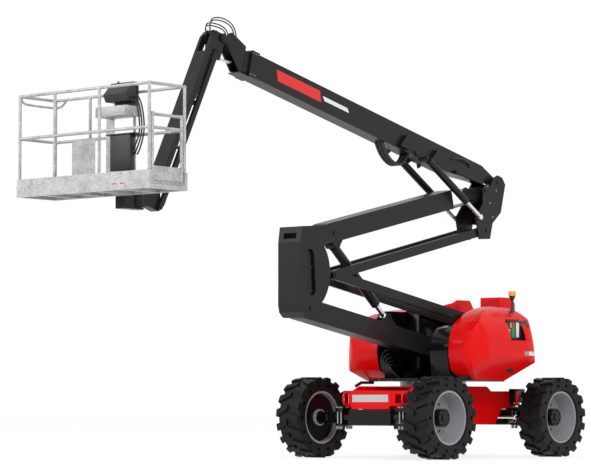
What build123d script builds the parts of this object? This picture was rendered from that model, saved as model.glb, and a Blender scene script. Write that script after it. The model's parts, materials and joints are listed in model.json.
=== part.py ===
"""Articulating boom lift: four-wheel chassis, slewing turret, two stacked parallelogram arms,
telescopic boom, jib and basket.  Millimetres, +X forward, +Y left, +Z up.
Pieces are drawn from the slew axis and moved, when written, to the middle of the overall length.
"""
from build123d import *
from math import atan2, cos, degrees, hypot, radians, sin
import os

os.makedirs("parts", exist_ok=True)

# ---------------------------------------------------------------- wheels and axles
tyre_radius = 508.0
tyre_width = 355.0
lug_height = 26.0
lug_count = 17
lug_length = 92.0
lug_slant = 70.0
lug_gap = 9.0
tyre_shoulder = 30.0
aperture_count = 14
aperture_radius = 408.0
aperture_size = 34.0
aperture_depth = 45.0
rim_radius = 322.0
rim_wall = 14.0
rim_width = 300.0
flange_height = 10.0
flange_width = 12.0
disc_offset = -67.0
disc_thickness = 14.0
hub_radius = 104.0
hub_reach = 62.0
hub_root = -125.0
nut_ring_radius = 165.0
nut_ring_height = 22.0
wheelbase = 2350.0
track = 2025.0
axle_beam_half = 330.0
axle_beam_height = 200.0
axle_beam_width = 210.0
axle_tube_radius = 75.0
kingpin_y = 770.0
kingpin_radius = 26.0
yoke_reach = 60.0
yoke_thickness = 26.0
yoke_gap = 84.0
knuckle_clearance = 1.0
spindle_radius = 70.0
steer_rod_radius = 20.0
steer_barrel_radius = 42.0
steer_barrel_half = 210.0
steer_rod_half = 560.0
steer_behind = 190.0

# ---------------------------------------------------------------- chassis
frame_half_width = 450.0
frame_wall = 16.0
frame_bottom = 420.0
frame_top = 900.0
frame_dip = 840.0
frame_short_of_axle = 115.0
frame_dip_back = 420.0
frame_hip = 180.0
frame_knee = 340.0
frame_belly = 500.0
frame_shelf = 625.0
deck_thickness = 20.0
cover_reach = 210.0
cover_half_width = 320.0
cover_bottom = 653.0
apron_bottom = 612.0
apron_half_width = 300.0
cover_top = 830.0
cover_wing_y = 530.0
cover_wing_reach = 90.0
cover_wall = 12.0
slew_ring_radius = 420.0
slew_ring_bottom = 900.0
slew_ring_top = 964.7
slew_bore_radius = 150.0

# ---------------------------------------------------------------- turret
deck_bottom = 965.0
turret_deck = 35.0
deck_half_length = 700.0
deck_half_width = 428.0
tray_front = 322.0
tray_rear = -358.0
tray_outer = 795.0
engine_front = 300.0
engine_rear = -280.0
engine_inner = 630.0
engine_top = 1480.0
cheek_inner = 126.0
cheek_outer = 148.0
weight_front = -962.0
weight_rear = -1360.0
weight_half_width = 520.0
weight_bottom = 1090.0
weight_top = 2050.0
weight_slot_half = 190.0
weight_slot_bottom = 1790.0
weight_corner = 150.0
weight_chamfer = 180.0
hood_wall = 14.0
hood_outer = 1075.0
hood_crease_z = 1270.0
hood_top = 1915.0
hood_bottom = 975.0
hood_rear = -925.0
left_hood_inner = 610.0
right_hood_inner = 440.0
hood_corner = 350.0
hood_rise = 2.1
hinge_x = -416.0
hinge_post_x = -330.0
hinge_inset = 10.0
hinge_radius = 12.0
hinge_half = 30.0
panel_x = -415.0
panel_z = 1610.0
panel_length = 322.0
panel_height = 252.0
panel_margin = 6.0
cabinet_front = 600.0
cabinet_rear = 150.0
cabinet_inner = 235.0
cabinet_outer = 590.0
cabinet_top = 1480.0
beacon_x = -490.0
beacon_y = 900.0
beacon_radius = 52.0
beacon_height = 125.0
beacon_post_radius = 20.0
beacon_base = 1985.0

# ---------------------------------------------------------------- pins of the linkages (x, z)
lower_arm_pin = (-435.0, 1296.0)
lower_link_pin = (-895.0, 1711.0)
lower_arm_length = 3080.0
lower_arm_angle = 9.8
tower_foot_to_middle = (-460.0, 415.0)
tower_middle_to_top = (20.0, 515.0)
upper_arm_length = 3160.0
upper_arm_angle = 12.9
riser_top_to_boom = (-270.0, 125.0)
boom_angle = 12.9
arm_half_width = 120.0
lower_arm_height = 250.0
upper_arm_height = 244.0
arm_wall = 9.0
arm_end_half_width = 97.0
arm_end_taper = 660.0
arm_end_root = 150.0
arm_root_radius = 56.0
arm_end_radius = 45.0
lower_link_inner = 153.0
lower_link_outer = 187.0
upper_link_inner = 112.0
upper_link_outer = 146.0
link_height = 115.0
link_wall = 8.0
pin_radius = 27.0
pin_gap = 0.6
small_pin = 19.0
level_pin = 14.0

# ---------------------------------------------------------------- knuckles between the arms
tower_inner = 150.0
tower_outer = 178.0
tower_depth = 199.9437
tower_face_wall = 12.0
tower_lug_half = 104.0
riser_inner = 152.0
riser_outer = 172.0

# ---------------------------------------------------------------- boom, fly section and nose
boom_half_width = 100.0
boom_half_height = 147.0
boom_wall = 9.0
boom_front = 4935.0
boom_tail_radius = 62.0
boom_tail_flat = 290.0
boom_tail_taper = 960.0
boom_tail_top = 300.0
collar_length = 130.0
collar_depth = 14.0
tongue_length = 138.0
fly_gap = 8.0
fly_wall = 9.0
fly_front = 5015.0
fly_start = 980.0
nose_inner = 60.0
nose_outer = 78.0
nose_pin = (5240.0, 1360.0)
nose_pin_radius = 24.0
nose_boss = 52.0

# ---------------------------------------------------------------- cylinders
arm_cyl_on_upper = (135.0, 52.0)
arm_cyl_on_lower = (1605.0, 218.0)
arm_cyl_radius = 58.0
arm_cyl_rod = 34.0
arm_cyl_barrel = 1085.0
arm_cyl_rod_length = 1085.0
boom_cyl_on_boom = (1570.0, -156.0)
boom_cyl_on_riser = (440.0, -480.0)
boom_cyl_y = 210.0
boom_cyl_radius = 47.0
boom_cyl_rod = 26.0
boom_cyl_barrel = 955.0
boom_cyl_rod_length = 1005.0
level_cyl_on_boom = (838.0, -100.0)
level_cyl_on_riser = (190.0, -50.0)
level_cyl_y = 126.0
level_cyl_radius = 21.0
level_cyl_rod = 12.0
level_cyl_barrel = 560.0
level_cyl_rod_length = 560.0
tilt_cyl_on_fly = (4555.0, 10.0)
tilt_cyl_on_bracket = (70.0, -240.0)
tilt_cyl_radius = 30.0
tilt_cyl_rod = 16.0
tilt_cyl_barrel = 480.0
tilt_cyl_rod_length = 480.0
jib_cyl_along = 900.0
jib_cyl_behind = 90.0
jib_cyl_radius = 28.0
jib_cyl_rod = 17.0
jib_cyl_barrel = 640.0
jib_cyl_rod_length = 625.0

# ---------------------------------------------------------------- jib
bracket_to_jib_top = (150.0, 40.0)
bracket_to_jib_bottom = (140.0, -170.0)
jib_length = 2100.0
jib_angle = -63.6
jib_block_half = 55.0
jib_cheek_inner = 36.0
jib_fork_inner = 60.0
jib_half_width = 97.0
jib_bar_front = 55.0
jib_bar_rear = 27.0
jib_link_front = 25.0
jib_link_rear = 38.0
jib_box_start = 275.0
jib_wall = 8.0
jib_pin_radius = 16.0
jib_boss = 40.0

# ---------------------------------------------------------------- platform
rotator_reach = 286.0
rotator_radius = 95.0
rotator_height = 230.0
rotator_drop = 104.0
clevis_plate = 20.0
clevis_gap = 6.0
clevis_half = 68.0
gate_gap = 12.0
gate_lug = 8.0
basket_rear = 266.0
basket_depth = 600.0
basket_half_width = 1035.0
basket_bottom = -3.0
floor_frame = 46.0
floor_plate = 10.0
toe_height = 154.0
toe_wall = 6.0
rail_radius = 17.5
mid_rail_height = 660.0
top_rail_height = 1140.0


def rotated(point, angle):
    """Turn an (x, z) pair anticlockwise, seen with +X right and +Z up."""
    c = cos(radians(angle))
    s = sin(radians(angle))
    return (point[0] * c - point[1] * s, point[0] * s + point[1] * c)


def shifted(point, step, scale=1.0):
    """Add a step to an (x, z) pair."""
    return (point[0] + scale * step[0], point[1] + scale * step[1])


def side(point=(0.0, 0.0), angle=0.0, y=0.0):
    """Vertical plane facing -Y, its local x turned up from +X by the angle."""
    direction = rotated((1.0, 0.0), angle)
    return Plane(origin=(point[0], y, point[1]), x_dir=(direction[0], 0, direction[1]), z_dir=(0, -1, 0))


def both(inner, outer):
    """Start heights, along Y, of a left and right pair of plates that are cut toward -Y."""
    return (outer, -inner)


def save(piece, name):
    """Move a finished piece to the middle of the overall length, label it and write its STEP file."""
    piece = piece.moved(Location((-overall_middle, 0, 0)))
    piece.label = name
    export_step(piece, "parts/" + name + ".step")


def direction_of(start, end):
    """Angle and length of the line between two (x, z) points."""
    return degrees(atan2(end[1] - start[1], end[0] - start[0])), hypot(end[0] - start[0], end[1] - start[1])


# ---------------------------------------------------------------- places worked out from the sizes
rest_lower = rotated((lower_arm_length, 0.0), lower_arm_angle)
rest_upper = rotated((-upper_arm_length, 0.0), -upper_arm_angle)
tower_foot = shifted(lower_arm_pin, rest_lower)
tower_front = tower_foot[0] + tower_depth
frame_half_length = wheelbase / 2 - frame_short_of_axle
frame_dip_x = frame_dip_back - frame_half_length
cover_front_x = frame_half_length + cover_reach
cover_wing_x = frame_half_length + cover_wing_reach
tower_middle = shifted(tower_foot, tower_foot_to_middle)
tower_top = shifted(tower_middle, tower_middle_to_top)
riser_link = shifted(tower_middle, rest_upper)
riser_arm = shifted(tower_top, rest_upper)
boom_pin = shifted(riser_arm, riser_top_to_boom)
jib_bracket_pin = shifted(boom_pin, nose_pin)
jib_top_pin = shifted(jib_bracket_pin, bracket_to_jib_top)
jib_bottom_pin = shifted(jib_bracket_pin, bracket_to_jib_bottom)
rest_jib = rotated((jib_length, 0.0), jib_angle)
head_top_pin = shifted(jib_top_pin, rest_jib)
head_bottom_pin = shifted(jib_bottom_pin, rest_jib)
rotator_axis_x = head_top_pin[0] + rotator_reach
rotator_mid_z = head_bottom_pin[1] + rotator_drop
overall_middle = (rotator_axis_x + basket_rear + basket_depth - wheelbase / 2 - tyre_radius) / 2


def on_boom(point):
    """Place a point, given along and across the boom, in the frame of the machine."""
    return shifted(boom_pin, rotated(point, boom_angle))


def on_lower(along, above):
    """Place a point on the lower arm, measured back from the tower's foot pin."""
    return shifted(tower_foot, rotated((-along, above), lower_arm_angle))


def on_upper(along, below):
    """Place a point on the upper arm, measured back from the tower's top pin."""
    return shifted(tower_top, rotated((-along, -below), -upper_arm_angle))


# ---------------------------------------------------------------- wheels
def radial(angle, distance):
    """Plane square to a wheel's radius, its local y along the axle."""
    out = Vector(sin(radians(angle)), 0, cos(radians(angle)))
    along = (cos(radians(angle)), 0, -sin(radians(angle)))
    return Plane(origin=out * distance, x_dir=along, z_dir=out)


def make_tyre():
    """Solid-sidewall tyre with slanted lugs and triangular windows in both walls."""
    carcass_radius = tyre_radius - lug_height
    half = tyre_width / 2
    seat = rim_radius + pin_gap
    seat_half = rim_width / 2 - flange_width - pin_gap
    over_flange = rim_radius + flange_height + pin_gap
    foot = carcass_radius - tyre_shoulder - 4
    with BuildPart() as tyre:
        with BuildSketch(Plane.XY):
            with BuildLine():
                Polyline(
                    (seat, -seat_half), (over_flange, -seat_half), (over_flange + 16, 4 - half),
                    (carcass_radius - tyre_shoulder, 4 - half), (carcass_radius, tyre_shoulder - half),
                    (carcass_radius, half - tyre_shoulder), (carcass_radius - tyre_shoulder, half - 4),
                    (over_flange + 16, half - 4), (over_flange, seat_half), (seat, seat_half), close=True)
            make_face()
        revolve(axis=Axis.Y)
        for hand in (1, -1):
            for index in range(lug_count):
                angle = (index + 0.25 * hand) * 360 / lug_count
                near = hand * lug_gap
                far = hand * half
                wide = lug_length / 2
                lean = lug_slant / 2
                with BuildSketch(radial(angle, foot)):
                    with BuildLine():
                        Polyline(
                            (lean - wide * 0.7, near), (lean + wide * 0.7, near),
                            (wide - lean, far), (-wide - lean, far), close=True)
                    make_face()
                extrude(amount=tyre_radius + 10 - foot)
            with BuildSketch(Plane.XZ.offset(-hand * (half + 1))):
                with PolarLocations(aperture_radius, aperture_count):
                    RegularPolygon(aperture_size, 3)
            extrude(amount=hand * (aperture_depth + 1), mode=Mode.SUBTRACT)
        Cylinder(tyre_radius, tyre_width, rotation=(90, 0, 0), mode=Mode.INTERSECT)
    return tyre.part


def make_rim():
    """Deep-dished steel rim with its flanges, disc, hub cover and ring of nuts."""
    half = rim_width / 2
    inside = rim_radius - rim_wall
    back = disc_offset - disc_thickness
    lip = rim_radius + flange_height
    with BuildPart() as rim:
        with BuildSketch(Plane.XY):
            with BuildLine():
                Polyline(
                    (0, hub_root), (hub_radius, hub_root), (hub_radius, back), (inside, back),
                    (inside, -half), (lip, -half), (lip, flange_width - half), (rim_radius, flange_width - half),
                    (rim_radius, half - flange_width), (lip, half - flange_width), (lip, half),
                    (inside, half), (inside - 10, disc_offset), (nut_ring_radius, disc_offset),
                    (nut_ring_radius, disc_offset + nut_ring_height), (hub_radius, disc_offset + nut_ring_height),
                    (hub_radius, hub_reach - 10), (hub_radius - 10, hub_reach), (0, hub_reach), close=True)
            make_face()
        revolve(axis=Axis.Y)
    return rim.part


tyre_shape = make_tyre()
rim_shape = make_rim()
for end, x in (("front", wheelbase / 2), ("rear", -wheelbase / 2)):
    for hand, y in (("left", track / 2), ("right", -track / 2)):
        spot = Location((x, y, tyre_radius))
        turned = spot if hand == "left" else spot * Location((0, 0, 0), (0, 0, 180))
        save(tyre_shape.moved(turned), "tyre_" + end + "_" + hand)
        save(rim_shape.moved(turned), "rim_" + end + "_" + hand)


# ---------------------------------------------------------------- steering knuckles
def make_knuckle(x, hand):
    """Knuckle block on its kingpin, with the spindle and the arm of the steering rod."""
    y = hand * kingpin_y
    root = hand * (track / 2 + hub_root - pin_gap)
    high = yoke_gap - 2 * knuckle_clearance
    with BuildPart() as knuckle:
        with BuildSketch(Plane.XY.offset(tyre_radius - high / 2)):
            with Locations((x, y)):
                Circle(yoke_reach - 12)
                Circle(kingpin_radius + pin_gap, mode=Mode.SUBTRACT)
        extrude(amount=high)
        with BuildSketch(Plane.XZ.offset(-root)):
            with Locations((x, tyre_radius)):
                Circle(spindle_radius)
        extrude(amount=hand * (abs(root) - abs(y) - yoke_reach - 4))
        with BuildSketch(Plane.XZ.offset(-root)):
            with Locations((x, tyre_radius)):
                Rectangle(2 * yoke_reach - 40, high - 8)
        extrude(amount=hand * (abs(root) - abs(y) - kingpin_radius - 8))
    return knuckle.part


for end, x in (("front", wheelbase / 2), ("rear", -wheelbase / 2)):
    for hand, sign in (("left", 1), ("right", -1)):
        save(make_knuckle(x, sign), "knuckle_" + end + "_" + hand)


# ---------------------------------------------------------------- axles
def make_axle(x):
    """Axle beam with its tubes, the yokes of the kingpins and the steering cylinder's barrel."""
    inward = -1 if x > 0 else 1
    rod_x = x + inward * steer_behind
    tube_end = kingpin_y - yoke_reach
    yoke_half = yoke_gap / 2 + yoke_thickness
    with BuildPart() as axle:
        with Locations((x, 0, tyre_radius)):
            Box(axle_beam_width, 2 * axle_beam_half, axle_beam_height)
            Cylinder(axle_tube_radius, 2 * tube_end, rotation=(90, 0, 0))
        chamfer(axle.edges().filter_by(Axis.Y).group_by(SortBy.LENGTH)[-1], 14)
        for sign in (1, -1):
            with Locations((x, sign * (kingpin_y - yoke_reach / 2 - 8), tyre_radius)):
                Box(2 * yoke_reach, yoke_reach + 44, 2 * yoke_half)
            with Locations((x, sign * (kingpin_y + 4), tyre_radius)):
                Box(2 * yoke_reach + 2, 2 * yoke_reach + 8, yoke_gap, mode=Mode.SUBTRACT)
            for low in (yoke_gap / 2, -yoke_half):
                with Locations((x, sign * kingpin_y, tyre_radius + low + yoke_thickness / 2)):
                    Cylinder(yoke_reach - 8, yoke_thickness)
            with Locations((x, sign * kingpin_y, tyre_radius)):
                Cylinder(kingpin_radius, 2 * yoke_half + 30)
        with Locations((rod_x, 0, tyre_radius)):
            Cylinder(steer_barrel_radius, 2 * steer_barrel_half, rotation=(90, 0, 0))
            Cylinder(steer_rod_radius + pin_gap, 2 * steer_barrel_half + 2, rotation=(90, 0, 0), mode=Mode.SUBTRACT)
        for sign in (1, -1):
            middle = (x + rod_x) / 2
            with Locations((middle, sign * (steer_barrel_half - 60), tyre_radius - steer_barrel_radius + 2)):
                Box(abs(x - rod_x) - 10, 40, 30)
        with Locations((rod_x, 0, tyre_radius)):
            Cylinder(steer_rod_radius + pin_gap, 2 * steer_barrel_half + 2, rotation=(90, 0, 0), mode=Mode.SUBTRACT)
    return axle.part


save(make_axle(wheelbase / 2), "axle_front")
save(make_axle(-wheelbase / 2), "axle_rear")

for end, x in (("front", wheelbase / 2 - steer_behind), ("rear", steer_behind - wheelbase / 2)):
    with BuildPart() as steer_rod:
        with Locations((x, 0, tyre_radius)):
            Cylinder(steer_rod_radius, 2 * steer_rod_half, rotation=(90, 0, 0))
        for sign in (1, -1):
            with Locations((x, sign * (steer_rod_half + 10), tyre_radius)):
                Sphere(steer_rod_radius + 12)
    save(steer_rod.part, "steer_rod_" + end)


# ---------------------------------------------------------------- chassis
with BuildPart() as chassis:
    for y in both(frame_half_width - frame_wall, frame_half_width):
        with BuildSketch(side(y=y)):
            with BuildLine():
                Polyline(
                    (-frame_half_length, frame_shelf), (frame_hip - frame_half_length, frame_shelf),
                    (frame_knee - frame_half_length, frame_bottom),
                    (frame_half_length - frame_knee, frame_bottom),
                    (frame_half_length - frame_hip, frame_shelf), (frame_half_length, frame_shelf),
                    (frame_half_length, frame_top - 50),
                    (frame_half_length - 120, frame_top), (frame_dip_x + 90, frame_top),
                    (frame_dip_x, frame_dip), (-frame_half_length + 60, frame_dip),
                    (-frame_half_length, frame_dip - 60), close=True)
            make_face()
        extrude(amount=frame_wall)
    inner = frame_half_width - frame_wall
    belly_x = frame_half_length - frame_belly
    for x in (30 - frame_half_length, -belly_x, belly_x, frame_half_length - 60):
        with Locations((x, 0, 733)):
            Box(frame_wall, 2 * inner, 200)
    with Locations((0, 0, frame_top - deck_thickness / 2)):
        Box(2 * 540, 2 * inner, deck_thickness)
        Cylinder(slew_bore_radius, deck_thickness + 2, mode=Mode.SUBTRACT)
    with Locations((0, 0, frame_bottom + 10)):
        Box(2 * belly_x, 2 * inner, 20)
    for x in (wheelbase / 2, -wheelbase / 2):
        inward = -1 if x > 0 else 1
        for sign in (1, -1):
            with Locations((x + inward * 30, sign * (frame_half_width + 30), 605)):
                Box(310, 116, 42.4)
            for step in (-95, 95):
                for out in (18, 72):
                    with Locations((x + step, sign * (frame_half_width + out), 505)):
                        Cylinder(11, 240)
            with Locations((x, sign * (frame_half_width + 40), tyre_radius - axle_tube_radius - 14.5)):
                Box(230, 100, 28)
        with Locations((x + inward * 130, 0, 640)):
            Box(290, 2 * inner, 26)
save(chassis.part, "chassis_frame")


# ---------------------------------------------------------------- slewing ring and turret
with BuildPart() as ring:
    with BuildSketch(Plane.XY.offset(slew_ring_bottom + 0.3)):
        Circle(slew_ring_radius)
        Circle(slew_bore_radius, mode=Mode.SUBTRACT)
    extrude(amount=slew_ring_top - slew_ring_bottom - 0.3)
save(ring.part, "slew_ring")

deck_top = deck_bottom + turret_deck
hinge_z = hood_top + hood_rise - hood_wall - hinge_radius - 0.8
with BuildPart() as turret:
    with BuildSketch(Plane.XY.offset(deck_bottom)):
        Rectangle(2 * deck_half_length, 2 * deck_half_width)
        Circle(slew_bore_radius, mode=Mode.SUBTRACT)
        chamfer(vertices().filter_by_position(Axis.X, deck_half_length - 1, deck_half_length + 1), 120)
    extrude(amount=turret_deck)
    for sign in (1, -1):
        tray_y = sign * (tray_outer + deck_half_width) / 2
        with Locations(((tray_front + tray_rear) / 2, tray_y, deck_bottom + turret_deck / 2)):
            Box(tray_front - tray_rear, tray_outer - deck_half_width, turret_deck)
    with Locations((weight_front + 130, 0, deck_bottom + turret_deck / 2)):
        Box(250, 2 * weight_half_width - 180, turret_deck)
    for y in both(cheek_inner, cheek_outer):
        with BuildSketch(side(y=y)):
            with BuildLine():
                Polyline(
                    (420, deck_top - 10), (300, 1080), (-60, 1130), (-330, 1340), (-500, 1400), (-830, 1770),
                    (weight_front, 1760), (weight_front, deck_top - 10), close=True)
            make_face()
            for pin in (lower_arm_pin, lower_link_pin):
                with Locations(pin):
                    Circle(54)
        extrude(amount=cheek_outer - cheek_inner)
    with Locations((-700, 0, 1120)):
        Box(24, 2 * cheek_inner + 10, 240)
    with BuildSketch(side(lower_arm_pin, y=cheek_outer + 20)):
        Circle(pin_radius)
    extrude(amount=2 * cheek_outer + 40)
    for y in both(cheek_inner, lower_link_outer + 8):
        with BuildSketch(side(lower_link_pin, y=y)):
            Circle(pin_radius)
        extrude(amount=lower_link_outer + 8 - cheek_inner)
    for x in (-560, 100):
        for sign in (1, -1):
            with Locations((x, sign * (cheek_outer + 130), deck_top + 50)):
                Box(16, 270, 110)
    for hinge_y in (left_hood_inner + hinge_inset, -right_hood_inner - hinge_inset):
        with Locations((hinge_post_x, hinge_y, (deck_top + hinge_z) / 2 - 5)):
            Box(30, 2 * hinge_radius, hinge_z - deck_top - 10)
        with Locations(((hinge_x + hinge_post_x) / 2, hinge_y, hinge_z - hinge_radius - 4)):
            Box(hinge_post_x - hinge_x + 30, 2 * hinge_radius, 2 * hinge_radius)
        with BuildSketch(Plane.YZ.offset(hinge_x - hinge_half)):
            with Locations((hinge_y, hinge_z)):
                Circle(hinge_radius)
        extrude(amount=2 * hinge_half)
save(turret.part, "turret_frame")

with BuildPart() as weight:
    with BuildSketch(side(y=weight_half_width)):
        with BuildLine():
            Polyline(
                (weight_front, weight_bottom), (weight_front, weight_top), (weight_rear + 120, weight_top),
                (weight_rear, weight_top - 160), (weight_rear, weight_bottom + 190),
                (weight_rear + 190, weight_bottom), close=True)
        make_face()
    extrude(amount=2 * weight_half_width)
    edges_up = weight.edges().filter_by(Axis.Z).sort_by(Axis.X)
    chamfer(edges_up[:2], weight_corner)
    with BuildSketch(Plane.YZ.offset(weight_rear - 1)):
        with BuildLine():
            Polyline(
                (-weight_half_width - 1, weight_top + 1), (-weight_half_width - 1, weight_top - weight_chamfer),
                (-weight_half_width + 2 * weight_chamfer, weight_top + 1), close=True)
        make_face()
    extrude(amount=weight_front - weight_rear + 2, mode=Mode.SUBTRACT)
    middle = (weight_front + weight_rear) / 2
    with Locations((middle, 0, weight_slot_bottom + 200)):
        Box(weight_front - weight_rear + 2, 2 * weight_slot_half, 400, mode=Mode.SUBTRACT)
save(weight.part, "counterweight")


# ---------------------------------------------------------------- hoods
def hood_solid(inner, inset):
    """Body of a hood on the left, as where its side, front and plan outlines meet."""
    low = hood_bottom
    with BuildPart() as body:
        with BuildSketch(side(y=hood_outer + 50)):
            with BuildLine():
                Line((350, low), (620, 1100))
                ThreePointArc((620, 1100), (690, 1350), (500, 1700))
                ThreePointArc((500, 1700), (230, 1815), (-60, 1880))
                ThreePointArc((-60, 1880), (-330, hood_top), (-620, 1905))
                ThreePointArc((-620, 1905), (-800, 1825), (-880, 1600))
                Polyline((-880, 1600), (hood_rear, hood_crease_z), (-390, low), (350, low))
            make_face()
            offset(amount=-inset, kind=Kind.INTERSECTION)
        extrude(amount=hood_outer + 100)
        with BuildSketch(Plane.YZ.offset(-1000)) as section:
            with BuildLine():
                Line((inner, low), (hood_outer - 220, low))
                Line((hood_outer - 220, low), (hood_outer, hood_crease_z))
                Line((hood_outer, hood_crease_z), (hood_outer - 14, 1440))
                ThreePointArc((hood_outer - 14, 1440), (hood_outer - 80, 1740), (hood_outer - 300, 1895))
                Polyline((hood_outer - 300, 1895), (inner, hood_top + 10), (inner, low))
            make_face()
            offset(amount=-inset, kind=Kind.INTERSECTION)
        extrude(amount=2000, mode=Mode.INTERSECT)
        with BuildSketch(Plane.XY.offset(low - 50)):
            with BuildLine():
                Line((720, inner), (720, hood_outer - hood_corner - 60))
                ThreePointArc(
                    (720, hood_outer - hood_corner - 60), (590, hood_outer - 100), (280, hood_outer))
                Line((280, hood_outer), (-640, hood_outer))
                ThreePointArc((-640, hood_outer), (-850, hood_outer - 90), (-940, hood_outer - 290))
                Polyline((-940, hood_outer - 290), (-940, inner), (720, inner))
            make_face()
            offset(amount=-inset, kind=Kind.INTERSECTION)
        extrude(amount=hood_top - low + 150, mode=Mode.INTERSECT)
    return body.part


def make_hood(inner):
    """Hollow hood, open underneath and toward the middle of the turret."""
    cavity = hood_solid(inner - 2 * hood_wall, hood_wall)
    with BuildPart() as hood:
        add(hood_solid(inner, 0))
        add(cavity, mode=Mode.SUBTRACT)
        with Locations((-20, inner + (hood_outer - 260 - inner) / 2 - 10, hood_bottom)):
            Box(700, hood_outer - 260 - inner, 3 * hood_wall, mode=Mode.SUBTRACT)
    return hood.part


with BuildPart() as left_hood:
    add(make_hood(left_hood_inner))
    with Locations((panel_x, hood_outer - 20, panel_z)):
        Box(panel_length + 2 * panel_margin, 190, panel_height + 2 * panel_margin, mode=Mode.SUBTRACT)
    with Locations((beacon_x, beacon_y, hood_top - 60)):
        Cylinder(beacon_post_radius + 0.3, 200, mode=Mode.SUBTRACT)
save(left_hood.part, "hood_left")
save(mirror(make_hood(right_hood_inner), about=Plane.XZ), "hood_right")

with BuildPart() as panel:
    with Locations((panel_x, hood_outer - 150, panel_z)):
        Box(panel_length, 60, panel_height)
    with Locations((panel_x + 15, hood_outer - 240, panel_z - 90)):
        Box(200, 160, 40)
    with Locations((-325, 770, (deck_top + panel_z - 80) / 2)):
        Box(50, 50, panel_z - 80 - deck_top)
save(panel.part, "ground_controls")

with BuildPart() as engine:
    with Locations((0, 0, deck_top)):
        with BuildSketch(Plane.XY.offset(deck_top)):
            with Locations(((engine_front + engine_rear) / 2, (engine_inner + 770) / 2)):
                Rectangle(engine_front - engine_rear, 770 - engine_inner)
    extrude(amount=engine_top - deck_top)
save(engine.part, "engine")

with BuildPart() as tank:
    with BuildSketch(Plane.XY.offset(deck_top)):
        with Locations(((engine_front + engine_rear) / 2, -(470 + 770) / 2)):
            RectangleRounded(engine_front - engine_rear, 300, 40)
    extrude(amount=engine_top - deck_top)
save(tank.part, "fuel_tank")

with BuildPart() as cabinet:
    with BuildSketch(side(y=cabinet_outer)):
        with BuildLine():
            Line((cabinet_rear, deck_top), (cabinet_front, deck_top))
            Line((cabinet_front, deck_top), (cabinet_front + 60, 1330))
            ThreePointArc((cabinet_front + 60, 1330), (cabinet_front - 60, 1560), (cabinet_front - 260, 1640))
            Polyline(
                (cabinet_front - 260, 1640), (cabinet_rear, cabinet_top + 190), (cabinet_rear, deck_top))
        make_face()
    extrude(amount=cabinet_outer - cabinet_inner)
    chamfer(cabinet.edges().filter_by(Axis.X).group_by(Axis.Z)[-1], 1)
save(cabinet.part, "valve_cabinet")

beacon_foot = hood_top - 140
with BuildPart() as beacon:
    with BuildSketch(Plane.XY.offset(beacon_foot)):
        with Locations((beacon_x, beacon_y)):
            Circle(beacon_post_radius)
    extrude(amount=beacon_base - beacon_foot)
    with BuildSketch(Plane.XY.offset(beacon_base)):
        with Locations((beacon_x, beacon_y)):
            Circle(beacon_radius)
    extrude(amount=beacon_height, taper=6)
save(beacon.part, "beacon")


# ---------------------------------------------------------------- arms and links
def cross_pin(point, half, radius=pin_radius):
    """A round bar across the machine, used as a pin or as the cutter of its bore."""
    with BuildPart() as bar:
        with BuildSketch(side(point, y=half)):
            Circle(radius)
        extrude(amount=2 * half)
    return bar.part


def arm_box(start, angle, length, height):
    """Hollow welded box arm with round ends, between two pins."""
    half = height / 2
    with BuildPart() as arm:
        with BuildSketch(side(start, angle, arm_half_width)):
            with Locations((length / 2, 0)):
                SlotCenterToCenter(length, height)
        extrude(amount=2 * arm_half_width)
        with BuildSketch(side(start, angle, arm_half_width - arm_wall)):
            with Locations((length / 2, 0)):
                Rectangle(length - height - 60, height - 2 * arm_wall)
        extrude(amount=2 * (arm_half_width - arm_wall), mode=Mode.SUBTRACT)
    return arm.part


def link_bars(start, angle, length, inner, outer):
    """Pair of flat hollow bars that keep the next knuckle level."""
    half = link_height / 2
    with BuildPart() as bars:
        for y in both(inner, outer):
            with BuildSketch(side(start, angle, y)):
                with Locations((length / 2, 0)):
                    SlotCenterToCenter(length, link_height)
                for x in (0, length):
                    with Locations((x, 0)):
                        Circle(pin_radius + pin_gap, mode=Mode.SUBTRACT)
            extrude(amount=outer - inner)
            with BuildSketch(side(start, angle, y - link_wall)):
                with Locations((length / 2, 0)):
                    Rectangle(length - 2 * link_height, link_height - 2 * link_wall)
            extrude(amount=outer - inner - 2 * link_wall, mode=Mode.SUBTRACT)
    return bars.part


with BuildPart() as lower_arm:
    add(arm_box(lower_arm_pin, lower_arm_angle, lower_arm_length, lower_arm_height))
    add(cross_pin(lower_arm_pin, arm_half_width + 1, pin_radius + pin_gap), mode=Mode.SUBTRACT)
    add(cross_pin(tower_foot, arm_half_width + 1, pin_radius + pin_gap), mode=Mode.SUBTRACT)
    eye = on_lower(*arm_cyl_on_lower)
    foot_height = lower_arm_height / 2 - 2
    for y in both(52, 76):
        with BuildSketch(side(tower_foot, lower_arm_angle, y)):
            with BuildLine():
                Polyline(
                    (-arm_cyl_on_lower[0] - 190, foot_height), (-arm_cyl_on_lower[0] + 150, foot_height),
                    (40 - arm_cyl_on_lower[0], arm_cyl_on_lower[1]),
                    (-arm_cyl_on_lower[0] - 40, arm_cyl_on_lower[1]), close=True)
            make_face()
            with Locations((-arm_cyl_on_lower[0], arm_cyl_on_lower[1])):
                Circle(44)
                Circle(20, mode=Mode.SUBTRACT)
        extrude(amount=24)
save(lower_arm.part, "lower_arm")

save(
    link_bars(lower_link_pin, lower_arm_angle, lower_arm_length, lower_link_inner, lower_link_outer), "lower_link")

def root_outline(top):
    """Outline of the upper arm's end: round about its pin, widening to the full arm."""
    with BuildSketch() as outline:
        Circle(arm_root_radius)
        with BuildLine():
            Polyline(
                (arm_end_root, -upper_arm_height / 2 - 1), (arm_end_root, top), (arm_end_root + 1, top),
                (arm_end_root + 1, -upper_arm_height / 2 - 1), close=True)
        make_face()
        make_hull()
    return outline.sketch


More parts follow.
